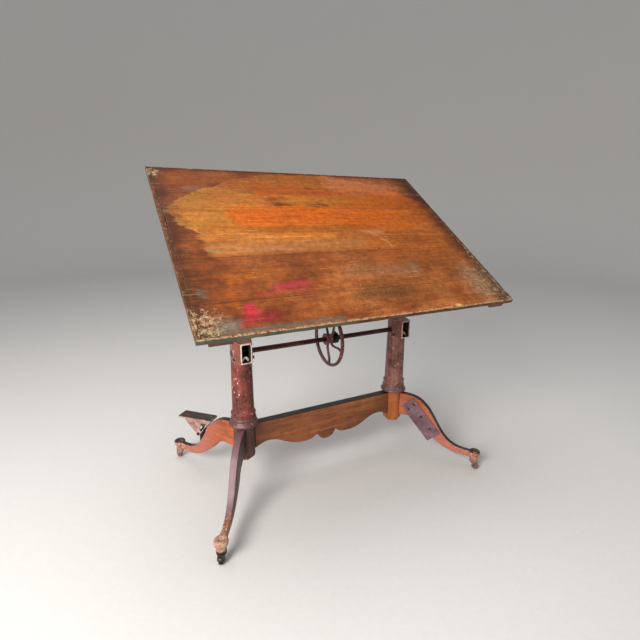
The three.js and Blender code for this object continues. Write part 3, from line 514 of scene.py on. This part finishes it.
def iron_finish(name, tones, wear, chalk, specks=0.0, drips=0.0, roughness=0.4, metal=0.25, casting=1.0,
                zones=(), top=None, pockets=(), rim=0.0028):
    """Cast iron under old paint: mottled colour, chalky tops, chipped edges and paint spatter."""
    s = Surface(name)
    cloud = s.noise(s.room, 13.0, detail=6.0, rough=0.62)
    fine = s.noise(s.room, 85.0, detail=5.0, rough=0.7)
    dark, middle, light = tones
    mottle = s.maths("ADD", s.times(cloud, 0.6), s.times(fine, 0.4))
    colour = s.ramp(mottle, ((0.38, dark), (0.5, middle), (0.62, light)))
    ragged = s.maths("ADD", s.part(s.room, "Z"), s.band(fine, 0.2, 0.8, -0.006, 0.006))
    for zone in zones:
        above = s.band(ragged, zone.low - 0.004, zone.low + 0.004)
        inside = s.times(above, s.band(ragged, zone.high + 0.004, zone.high - 0.004))
        colour = s.mix(s.times(inside, s.band(cloud, 0.3, 0.6, 0.7, 1.0), zone.share), colour, tone(zone.tone))
    if top is not None:
        colour = s.mix(s.band(s.facing_up(), 0.4, 0.8), colour, tone(top))
        # painted shade: faces turned downwards take the same dark tone as the tops
        colour = s.mix(s.band(s.facing_up(), -0.25, -0.5), colour, tone(top))
    runs = s.noise(s.place(s.room, scale=(75, 75, 5)), detail=4.0, rough=0.6)
    colour = s.mix(s.times(s.band(runs, 0.5, 0.68), drips), colour, tone(dark))
    dust = s.times(s.band(s.facing_up(), 0.2, 0.9), s.band(fine, 0.3, 0.6), 0.4)
    colour = s.mix(dust, colour, tone(chalk))
    bare = s.band(s.noise(s.room, 52.0, detail=6.0, rough=0.75), 0.62, 0.66)
    colour = s.mix(s.times(bare, 0.6), colour, tone(wear))
    edge = s.times(s.rim(rim), s.band(fine, 0.35, 0.52))
    colour = s.mix(s.times(edge, 0.9), colour, tone(wear))
    dashes = s.band(s.cells(s.place(s.room, scale=(1, 1, 0.42)), 75.0), 0.20, 0.12)
    spatter = s.times(dashes, s.band(s.noise(s.room, 17.0, detail=2.0), 0.54, 0.60), specks)
    colour = s.mix(spatter, colour, tone("e6dcd0"))
    for middle, half in pockets:
        away = s.vector("ABSOLUTE", s.vector("SUBTRACT", s.room, middle))
        beyond = s.vector("MAXIMUM", s.vector("SUBTRACT", away, half))
        distance = s.vector("LENGTH", beyond, output="Value")
        lip = s.times(s.band(distance, 0.0064, 0.0048), s.band(fine, 0.36, 0.48))
        colour = s.mix(s.times(lip, 0.9), colour, tone(wear))
        # painted shade: the inside of each head's window is darkened to near black
        colour = s.mix(s.times(s.band(distance, 0.0012, 0.0002), 0.92), colour, tone("0c0807"))
    grain = s.noise(s.room, 420.0, detail=2.0)
    relief = s.maths("ADD", s.times(grain, 0.35 * casting), s.times(fine, 0.6 * casting))
    relief = s.maths("SUBTRACT", relief, s.times(bare, 0.35))
    relief = s.maths("ADD", relief, s.times(spatter, 0.5))
    normal = s.bump(relief, 0.0006)
    rough = s.band(mottle, 0.38, 0.62, roughness - 0.1, roughness + 0.15)
    rough = s.maths("ADD", rough, s.times(dust, 0.3))
    shiny = s.maths("ADD", s.times(edge, 0.3), metal)
    return s.finish(colour, rough, normal, Metallic=shiny)


# ---------------------------------------------------------------- studio finishes
def plain_finish(name, code, roughness):
    s = Surface(name)
    shade = s.band(s.noise(s.room, 40.0, detail=4.0), 0.3, 0.7, 0.985, 1.01)
    colour = s.shade(tone(code), shade)
    normal = s.bump(s.noise(s.room, 60.0, detail=3.0), 0.0004)
    return s.finish(colour, roughness, normal)


# ---------------------------------------------------------------- dressing the CAD nodes
def smoothing_tree(angle):
    """Geometry nodes that shade a mesh smooth except over edges sharper than the angle."""
    tree = bpy.data.node_groups.new("smooth_by_angle", "GeometryNodeTree")
    tree.interface.new_socket("Geometry", in_out="INPUT", socket_type="NodeSocketGeometry")
    tree.interface.new_socket("Geometry", in_out="OUTPUT", socket_type="NodeSocketGeometry")
    start = tree.nodes.new("NodeGroupInput")
    end = tree.nodes.new("NodeGroupOutput")
    bend = tree.nodes.new("GeometryNodeInputMeshEdgeAngle")
    gentle = tree.nodes.new("FunctionNodeCompare")
    gentle.data_type = "FLOAT"
    gentle.operation = "LESS_EQUAL"
    gentle.inputs[1].default_value = angle
    faces = tree.nodes.new("GeometryNodeSetShadeSmooth")
    edges = tree.nodes.new("GeometryNodeSetShadeSmooth")
    edges.domain = "EDGE"
    tree.links.new(bend.outputs["Unsigned Angle"], gentle.inputs[0])
    tree.links.new(start.outputs[0], faces.inputs["Geometry"])
    tree.links.new(faces.outputs[0], edges.inputs["Geometry"])
    tree.links.new(gentle.outputs[0], edges.inputs["Shade Smooth"])
    tree.links.new(edges.outputs[0], end.inputs[0])
    return tree


EDGE_ANGLE = math.radians(38)  # sharper edges than this are rounded and stay crisp
FLAT_ANGLE = math.radians(0.6)  # faces flatter to each other than this become one
WELD_DISTANCE = 2e-6
SMOOTHING = smoothing_tree(EDGE_ANGLE)


def smooth(obj):
    modifier = obj.modifiers.new("smooth", "NODES")
    modifier.node_group = SMOOTHING
    weighted = obj.modifiers.new("even normals", "WEIGHTED_NORMAL")
    weighted.keep_sharp = True


def paint(node, material):
    """Gives a CAD node its finish, and joins its faces so that modifiers can work on them."""
    obj = frame["nodes"][node]
    mesh = obj.data
    if "custom_normal" in mesh.attributes:
        mesh.attributes.remove(mesh.attributes["custom_normal"])
    mesh.materials.clear()
    mesh.materials.append(material)
    weld = obj.modifiers.new("weld", "WELD")
    weld.merge_threshold = WELD_DISTANCE
    return obj


def dress(node, material, bevel=0.0012, segments=2, clamp=False):
    """Gives a CAD node its finish and softens its edges."""
    obj = paint(node, material)
    flat = obj.modifiers.new("flat faces", "DECIMATE")
    flat.decimate_type = "DISSOLVE"
    flat.angle_limit = FLAT_ANGLE
    round_edges = obj.modifiers.new("round edges", "BEVEL")
    round_edges.width = bevel
    round_edges.segments = segments
    round_edges.limit_method = "ANGLE"
    round_edges.angle_limit = EDGE_ANGLE
    round_edges.use_clamp_overlap = clamp
    smooth(obj)


def cast(node, material, voxel, passes):
    """Gives a CAD node its finish and the soft corners and fillets of a casting."""
    obj = paint(node, material)
    fuse = obj.modifiers.new("fuse", "REMESH")
    fuse.mode = "VOXEL"
    fuse.voxel_size = voxel
    fuse.use_smooth_shade = True
    soften = obj.modifiers.new("soften", "SMOOTH")
    soften.factor = 0.5
    soften.iterations = passes


# ---------------------------------------------------------------- meshes
def mesh_from(made, name):
    """Mesh of a bmesh, with its faces turned outwards."""
    bmesh.ops.recalc_face_normals(made, faces=made.faces)
    mesh = bpy.data.meshes.new(name)
    made.to_mesh(mesh)
    made.free()
    return mesh


def lathe_mesh(name, profile, segments, ring=False):
    """Surface of revolution about Z from (radius, height) pairs: a bowl, or a solid ring."""
    made = bmesh.new()
    loops = []
    for radius, height in profile:
        loop = []
        for index in range(segments):
            angle = 2 * math.pi * index / segments
            loop.append(made.verts.new((radius * math.cos(angle), radius * math.sin(angle), height)))
        loops.append(loop)
    if ring:
        loops.append(loops[0])
    else:
        made.faces.new(loops[0])
    for lower, upper in zip(loops, loops[1:]):
        for index in range(segments):
            after = (index + 1) % segments
            made.faces.new((lower[index], lower[after], upper[after], upper[index]))
    return mesh_from(made, name)


# ---------------------------------------------------------------- studio
FLOOR_REACH = 8.0  # level floor out to here
WALL_TURN = 3.0  # radius of the turn between floor and backdrop
WALL_HEIGHT = 7.0
TURN_STEPS = 12


def make_floor():
    """Pale floor that turns up into a round backdrop far from the table."""
    profile = [(0.5, 0.0), (3.0, 0.0), (FLOOR_REACH, 0.0)]
    for step in range(1, TURN_STEPS + 1):
        angle = step / TURN_STEPS * math.pi / 2
        profile.append((FLOOR_REACH + WALL_TURN * math.sin(angle), WALL_TURN - WALL_TURN * math.cos(angle)))
    profile.append((FLOOR_REACH + WALL_TURN, WALL_HEIGHT))
    mesh = lathe_mesh("floor", profile, 96)
    mesh.materials.append(plain_finish("pale floor", "d4d1cc", 0.8))
    for polygon in mesh.polygons:
        polygon.use_smooth = True
    floor = add_object("floor", mesh)
    floor.location.z = CAD_LOW.z


def area_light(name, place, size, power, colour):
    data = bpy.data.lights.new(name, "AREA")
    data.shape = "DISK"
    data.size = size
    data.energy = power
    data.color = colour
    light = add_object(name, data)
    light.location = place
    target = (CAD_LOW + CAD_HIGH) / 2
    light.rotation_euler = (target - Vector(place)).to_track_quat("-Z", "Y").to_euler()


def make_lights():
    area_light("key", (-3.6, -2.2, 2.7), 2.4, 255, (1.0, 0.97, 0.95))
    area_light("fill", (3.2, -3.4, 2.6), 3.0, 8, (0.94, 0.97, 1.0))
    area_light("top", (-0.6, 0.4, 4.8), 3.6, 80, (1.0, 1.0, 1.0))
    world = bpy.data.worlds.new("studio")
    world.use_nodes = True
    background = world.node_tree.nodes["Background"]
    background.inputs["Color"].default_value = (0.90, 0.93, 1.0, 1)
    background.inputs["Strength"].default_value = 0.48
    bpy.context.scene.world = world
    bpy.context.scene.view_settings.view_transform = "Standard"


# ---------------------------------------------------------------- board and its edge strips
HOLLOW_DEPTH = 0.00012
GROOVE_HALF_WIDTH = 0.0008
GROOVE_DEPTH = 0.0005
BITE_LIMIT = 0.0032
FACE_INSET = 0.0011

# A level of the board's side, from the face down: how far in it stands, how much of a chip it shows,
# its height on a board of the drawn thickness, how far a chip sinks it, and its chips' seed.
EdgeLevel = namedtuple("EdgeLevel", "inset share height sink seed")
DRAWN_THICKNESS = 0.022
EDGE_LEVELS = (
    EdgeLevel(0.0002, 0.5, -0.0014, 0.6, 3),
    EdgeLevel(0.0001, 0.1, -0.0080, 0, 3),
    EdgeLevel(0.0002, 0.4, -0.0205, 0, 9),
    EdgeLevel(0.0013, 1.0, -0.0218, 0, 9),
)


def grid_lines(low, high, step, extra=()):
    count = max(2, round((high - low) / step))
    lines = [low + (high - low) * index / count for index in range(count + 1)]
    return sorted(lines + [place for place in extra if low + 0.002 < place < high - 0.002])


def bite(x, y, seed):
    """How far an edge is chipped back at a point, in metres."""
    small = max(0.0, noise.noise(Vector((x * 42, y * 42, seed))) - 0.10) * 0.005
    large = max(0.0, noise.noise(Vector((x * 12, y * 12, seed + 4))) - 0.40) * 0.016
    return min(small + large, BITE_LIMIT)


def face_height(x, y, seams):
    """Wear of the face below its level plane: shallow hollows, and a groove along each glue line."""
    hollow = HOLLOW_DEPTH * (1 + noise.noise(Vector((x * 4, y * 11, 2))))
    groove = GROOVE_DEPTH if any(abs(y - seam) < GROOVE_HALF_WIDTH for seam in seams) else 0.0
    return -hollow - groove


def worn_slab(name, low, high, step, seams, material):
    """Board-shaped solid in the board's axes, with chipped, softened edges and glue lines."""
    beside = [seam + side * 2 * GROOVE_HALF_WIDTH for seam in seams for side in (-1, 0, 1)]
    across = grid_lines(low.x, high.x, step)
    along = grid_lines(low.y, high.y, 0.006, beside)
    last_x = len(across) - 1
    last_y = len(along) - 1
    made = bmesh.new()

    def inset(column, row, amount):
        x = across[column]
        y = along[row]
        x += amount if column == 0 else -amount if column == last_x else 0
        y += amount if row == 0 else -amount if row == last_y else 0
        return x, y

    grid = []
    for column in range(last_x + 1):
        line = []
        for row in range(last_y + 1):
            on_edge = column in (0, last_x) or row in (0, last_y)
            chip = bite(across[column], along[row], 3) if on_edge else 0
            x, y = inset(column, row, FACE_INSET + chip)
            drop = face_height(x, y, seams) - (0.0003 if on_edge else 0)
            line.append(made.verts.new((x, y, high.z + drop)))
        grid.append(line)
    for column in range(last_x):
        for row in range(last_y):
            corners = (grid[column][row], grid[column + 1][row], grid[column + 1][row + 1], grid[column][row + 1])
            made.faces.new(corners)

    walk = [(column, 0) for column in range(last_x)] + [(last_x, row) for row in range(last_y)]
    walk += [(column, last_y) for column in range(last_x, 0, -1)] + [(0, row) for row in range(last_y, 0, -1)]
    ring = [grid[column][row] for column, row in walk]
    for level in EDGE_LEVELS:
        depth = level.height * (high.z - low.z) / DRAWN_THICKNESS
        below = []
        for column, row in walk:
            chip = bite(across[column], along[row], level.seed)
            x, y = inset(column, row, level.inset + level.share * chip)
            z = max(high.z + depth - level.sink * chip, low.z)
            below.append(made.verts.new((x, y, z)))
        for index in range(len(ring)):
            after = (index + 1) % len(ring)
            made.faces.new((ring[index], below[index], below[after], ring[after]))
        ring = below
    made.faces.new(ring)
    mesh = mesh_from(made, name)
    mesh.transform(BOARD_TO_ROOM)
    mesh.materials.append(material)
    slab = add_object(name, mesh)
    smooth(slab)
    return slab


def make_board(panel, strip):
    seams = [PANEL_HIGH.y - offset for offset in SEAMS]
    face = worn_slab("board_planks", PANEL_LOW, PANEL_HIGH, 0.006, seams, panel)
    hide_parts("drawing_board")
    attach(face, "board")
    for side in ("left", "right"):
        low, high = board_box(f"{side}_end_strip")
        edge = worn_slab(f"{side}_edge_strip", low, high, 0.005, (), strip)
        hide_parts(f"{side}_end_strip")
        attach(edge, "board")


# ---------------------------------------------------------------- screws
SEAT_POINTS = 20
PLATE_SCREW_RADIUS = 0.0085
SMALL_SCREW_RADIUS = 0.006
PLATE_HALF_THICKNESS = 0.0019
FLANGE_THICKNESS = 0.009
BATTEN_SCREWS = 7
BATTEN_SCREW_SPACING = 0.15
BATTEN_SCREW_STAGGER = 0.022


def add_screw(made, radius, height, slot_turn, place, normal):
    """Round slotted screw head: two halves of a dome on a thin disc."""
    half_slot = radius * 0.16
    frame_turn = normal.to_track_quat("Z", "Y").to_matrix() @ Matrix.Rotation(slot_turn, 3, "Z")
    first = math.asin(half_slot / radius)
    steps = 10
    rings = 4

    def put(x, y, z):
        return made.verts.new(place + frame_turn @ Vector((x, y, z)))

    for turn in (1, -1):
        rows = []
        for ring in range(rings):
            reach = 1 - ring / rings
            row = []
            for step in range(steps + 1):
                angle = first + (math.pi - 2 * first) * step / steps
                x = reach * radius * math.cos(angle)
                y = half_slot + reach * (radius * math.sin(angle) - half_slot)
                z = height * (1 - 0.75 * (x * x + y * y) / radius ** 2)
                row.append((x * turn, y * turn, z))
            rows.append(row)
        skirt = [(x, y, 0.0) for x, y, z in rows[0]]
        sheets = [skirt] + rows
        verts = [[put(*point) for point in row] for row in sheets]
        tip = put(0, half_slot * turn, height * (1 - 0.75 * (half_slot / radius) ** 2))
        root = put(0, half_slot * turn, 0)
        for lower, upper in zip(verts, verts[1:]):
            for step in range(steps):
                made.faces.new((lower[step], lower[step + 1], upper[step + 1], upper[step]))
        for step in range(steps):
            made.faces.new((verts[-1][step], verts[-1][step + 1], tip))
            made.faces.new((verts[0][step + 1], verts[0][step], root))
        made.faces.new([row[0] for row in verts] + [tip, root])
        made.faces.new([row[-1] for row in reversed(verts)] + [root, tip])
    circle = [2 * math.pi * index / SEAT_POINTS for index in range(SEAT_POINTS)]
    disc = [(radius * 0.97 * math.cos(angle), radius * 0.97 * math.sin(angle)) for angle in circle]
    upper_disc = [put(x, y, height * 0.25) for x, y in disc]
    lower_disc = [put(x, y, -0.0002) for x, y in disc]
    made.faces.new(upper_disc)
    made.faces.new(list(reversed(lower_disc)))
    for index in range(SEAT_POINTS):
        after = (index + 1) % SEAT_POINTS
        made.faces.new((lower_disc[index], lower_disc[after], upper_disc[after], upper_disc[index]))


def make_screws(name, body, radius, places, material):
    made = bmesh.new()
    for index, (place, normal) in enumerate(places):
        add_screw(made, radius, radius * 0.32, 0.7 + 2.4 * index, place, normal)
    mesh = mesh_from(made, name)
    mesh.materials.append(material)
    screws = add_object(name, mesh)
    smooth(screws)
    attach(screws, body)


PLATE_SLOPE = math.radians(45.8)
PLATE_SCREWS = ((-0.088, 0.027), (-0.082, -0.020), (-0.010, 0.014), (0.070, 0.014))  # down and across


def plate_screw_places():
    low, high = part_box("repair_plate")
    middle = (low + high) / 2
    away = largest_face("repair_plate")[1]
    leg_low, leg_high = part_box("front_right_leg")
    if away.dot(middle - (leg_low + leg_high) / 2) < 0:
        away = -away
    level = Vector((0, 0, 1)).cross(away)
    level = level if level.x > 0 else -level
    down = level * math.cos(PLATE_SLOPE) - Vector((0, 0, math.sin(PLATE_SLOPE)))
    up = level * math.sin(PLATE_SLOPE) + Vector((0, 0, math.cos(PLATE_SLOPE)))
    face = middle + away * PLATE_HALF_THICKNESS
    return [(face + down * u + up * v, away) for u, v in PLATE_SCREWS]


def underside_places(node, offsets, z):
    """Places on a level underside in the board's axes, from offsets about the node's middle."""
    low, high = board_box(node)
    middle = (low + high) / 2
    away = BOARD_TO_ROOM.to_3x3() @ Vector((0, 0, -1))
    return [(BOARD_TO_ROOM @ Vector((middle.x + x, middle.y + y, z)), away) for x, y in offsets]


def make_all_screws(material):
    make_screws("plate_screws", "stand", PLATE_SCREW_RADIUS, plate_screw_places(), material)
    batten_offsets = []
    for index in range(BATTEN_SCREWS):
        along = (index - (BATTEN_SCREWS - 1) / 2) * BATTEN_SCREW_SPACING
        batten_offsets.append((BATTEN_SCREW_STAGGER * (-1) ** index, along))
    flange_offsets = [(x, y) for x in (-0.031, 0.031) for y in (-0.064, 0.064)]
    for side in ("left", "right"):
        bottom = board_box(f"{side}_batten")[0].z
        places = underside_places(f"{side}_batten", batten_offsets, bottom)
        make_screws(f"{side}_batten_screws", "board", SMALL_SCREW_RADIUS, places, material)
        flange = board_box(f"{side}_hinge_plate")[1].z - FLANGE_THICKNESS
        places = underside_places(f"{side}_hinge_plate", flange_offsets, flange)
        make_screws(f"{side}_hinge_screws", "board", SMALL_SCREW_RADIUS, places, material)


# ---------------------------------------------------------------- ferrules
FERRULE_PROFILE = ((0.0175, -0.0006), (0.0205, -0.0006), (0.0216, 0.0006), (0.0219, 0.0080), (0.0216, 0.0155),
                   (0.0206, 0.0166), (0.0175, 0.0166))  # radius, and height above the foot's underside
FERRULE_SEGMENTS = 48


def make_ferrule(label, material):
    """Iron band round the bottom of a wooden foot, over its caster socket."""
    mesh = lathe_mesh(f"{label}_ferrule", FERRULE_PROFILE, FERRULE_SEGMENTS, ring=True)
    place = joint(f"{label}_caster_swivel")["pos_m"]
    mesh.transform(Matrix.Translation((place[0], place[1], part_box(f"{label}_leg")[0].z)))
    mesh.materials.append(material)
    band = add_object(f"{label}_ferrule", mesh)
    smooth(band)
    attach(band, "stand")


# ---------------------------------------------------------------- materials
HEAD_BOTTOM = 0.690
RING_TOP = 0.400
COLUMN_ZONES = (Zone(0.30, RING_TOP, "5c4446", 0.7), Zone(HEAD_BOTTOM, 0.80, "85493c", 0.6))
WINDOW_HALF = Vector((0.0222, 0.058, 0.0440))  # inside of a head, painted near black as shade
WINDOW_BEHIND_FACE = 0.003
WINDOW_BELOW_TOP = 0.050


def head_pockets():
    """Middle and half size of the inside of each column's head."""
    pockets = []
    for side in ("left", "right"):
        low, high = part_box(f"{side}_column")
        depth = low.y + WINDOW_BEHIND_FACE + WINDOW_HALF.y
        middle = Vector(((low.x + high.x) / 2, depth, high.z - WINDOW_BELOW_TOP))
        pockets.append((middle, WINDOW_HALF))
    return pockets


BOARD = board_finish("board varnish", 0.0)
STRIP = board_finish("end strip varnish", math.pi / 2)
COLUMN = iron_finish("column iron", ("3c130d", "6c2c20", "95493a"), "e8d6c8", "8a5a50", specks=1.0, drips=0.5,
                     roughness=0.34, metal=0.05, zones=COLUMN_ZONES, pockets=head_pockets(), rim=0.0045)
# painted reflection: a paler, mauver copy of the column iron for the right column, with fewer specks
REFLECTION_TINTED_COLUMN = iron_finish("column iron with painted reflection", ("3c1c17", "724238", "9c665a"), "d8c4b8", "8a6a62", specks=0.5,
                           drips=0.4, roughness=0.30, metal=0.08, zones=COLUMN_ZONES, pockets=head_pockets(),
                           rim=0.0045)
WHEEL = iron_finish("wheel iron", ("3a1b1b", "683a3b", "8a5c5d"), "cbb0aa", "a98a88", drips=0.1)
PLATE = iron_finish("plate iron", ("5a3f48", "77585f", "8f7078"), "4a3a38", "a08890", roughness=0.5)
SHAFT = iron_finish("shaft steel", ("240e09", "461d14", "683224"), "a88070", "7a5a50", metal=0.5, casting=0.5)
DARK = iron_finish("dark iron", ("120e0d", "241c1a", "3a2e2a"), "9a8a80", "4a403c", metal=0.6, casting=0.6)
TREADLE = iron_finish("treadle iron", ("7a544c", "a8827a", "cdb0a4"), "e6d2c6", "5a463e", metal=0.1, top="33211b")
CASTER = iron_finish("caster iron", ("100e0e", "26211f", "453c38"), "c8beb4", "5a524c", metal=0.6)
RUSTED = iron_finish("rusted caster iron", ("5a3a32", "946e62", "bc9a8c"), "e2d2c6", "c0a094", metal=0.2)
PAWL = iron_finish("pawl metal", ("a88a68", "d2b690", "efe2c8"), "f4ead6", "d8c8a8", metal=0.3, roughness=0.4)

STRETCHER_TONES = ("4e260e", "87481a", "ac6a2c")
HUB_TONES = ("6e300f", "ae5a20", "cf7c36")
DARKER_HUB_TONES = ("220d08", "4a2116", "7a4030")
# the left hub block has darker tones than the right one
BATTEN_TONES = ("3f1d12", "653020", "7f4630")
HUB = wood_finish("hub wood", 0, HUB_TONES, "a86a48", "3a2018", 0.5, upright=True)
DARKER_HUB = wood_finish("darker hub wood", 0, DARKER_HUB_TONES, "7a4a42", "2a1812", 0.5, upright=True)
STRETCHER = wood_finish("stretcher wood", 0, STRETCHER_TONES, "9a5424", "17110e", 1.0, shade_and_grime_ends=(0.28, 0.44))
BATTEN = wood_finish("batten wood", math.pi / 2, BATTEN_TONES, "8a5a48", "3a2018", 0.0, roughness=0.6)

LEG_HEADING = math.radians(60)  # between a leg and the stretcher's line
LEG_TONES = ("7a3213", "b0541f", "cf7030")
# painted shade: dark timber tones for the front left leg, standing in for the shade on its side
SHADE_DARKENED_LEG_TONES = ("1e0c08", "3a1a13", "5c3026")
BARE_FOOT_TONES = ("7c4630", "9c6e5e")
TOP_TONES = {"front_left": "755257", "front_right": "1c1513", "back_left": "1a1311", "back_right": "1c1513"}


def leg_finish(end, side, post):
    """Timber of one leg. The front left leg gets dark tones as painted shade of its side away from the light, and a
    foot worn bare.
    """
    towards = -1 if end == "front" else 1
    heading = towards * LEG_HEADING if side == "right" else math.pi - towards * LEG_HEADING
    label = f"{end}_{side}"
    name = f"{end} {side} leg wood"
    if label == "front_left":
        return wood_finish(name, heading, SHADE_DARKENED_LEG_TONES, "5a342c", TOP_TONES[label], 1.0, post,
                           foot=BARE_FOOT_TONES)
    return wood_finish(name, heading, LEG_TONES, "b06a5c", TOP_TONES[label], 1.0, post)


# ---------------------------------------------------------------- everything together
def dress_pedestal(side, column, hub):
    """One column with its hub block, its lifting gear and its share of the board's hardware."""
    dress(f"{side}_column", column)
    dress(f"{side}_hub_block", hub, 0.010, 5)
    dress(f"{side}_tie_bolt", DARK)
    dress(f"{side}_rack", DARK, 0.0006)
    dress(f"{side}_trunnion", COLUMN, 0.0015)
    dress(f"{side}_pawl", PAWL, 0.001)
    dress(f"{side}_pawl_pin", DARK, 0.001)
    dress(f"{side}_pinion", DARK, 0.0006)
    dress(f"{side}_inner_bush", WHEEL, 0.001)
    dress(f"{side}_outer_bush", WHEEL, 0.001)
    dress(f"{side}_pivot_pin", DARK, 0.001)
    dress(f"{side}_clamp_knob", DARK, 0.001)
    dress(f"{side}_hinge_plate", COLUMN, 0.0015)
    dress(f"{side}_batten", BATTEN, 0.003, 3)


def dress_leg(end, side):
    """One leg with its ferrule and caster."""
    label = f"{end}_{side}"
    hub_low, hub_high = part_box(f"{side}_hub_block")
    dress(f"{label}_leg", leg_finish(end, side, (hub_low + hub_high) / 2), 0.0035, 3)
    metal = RUSTED if label in ("front_right", "back_left") else CASTER
    for part in ("socket", "wheel", "axle"):
        dress(f"{label}_caster_{part}", metal, 0.0008)
    dress(f"{label}_caster_fork", metal, 0.0006, clamp=True)
    make_ferrule(label, metal)


def dress_middle():
    """The pieces between the pedestals, and the treadle."""
    dress("repair_plate", PLATE, 0.0008)
    dress("pedal_bracket", DARK, 0.0015)
    dress("foot_pedal", TREADLE, 0.0015)
    dress("pedal_pin", DARK, 0.001)
    dress("pedal_spring", DARK, 0.0002)
    dress("stretcher", STRETCHER, 0.004, 3)
    dress("cross_shaft", SHAFT, 0.001)
    cast("handwheel", WHEEL, 0.0018, 6)
    dress("wheel_collar", DARK, 0.0015)


dress_pedestal("left", COLUMN, DARKER_HUB)
dress_pedestal("right", REFLECTION_TINTED_COLUMN, HUB)
for side in ("left", "right"):
    dress_leg("front", side)
    dress_leg("back", side)
dress_middle()
make_board(BOARD, STRIP)
make_all_screws(DARK)

make_floor()
make_lights()
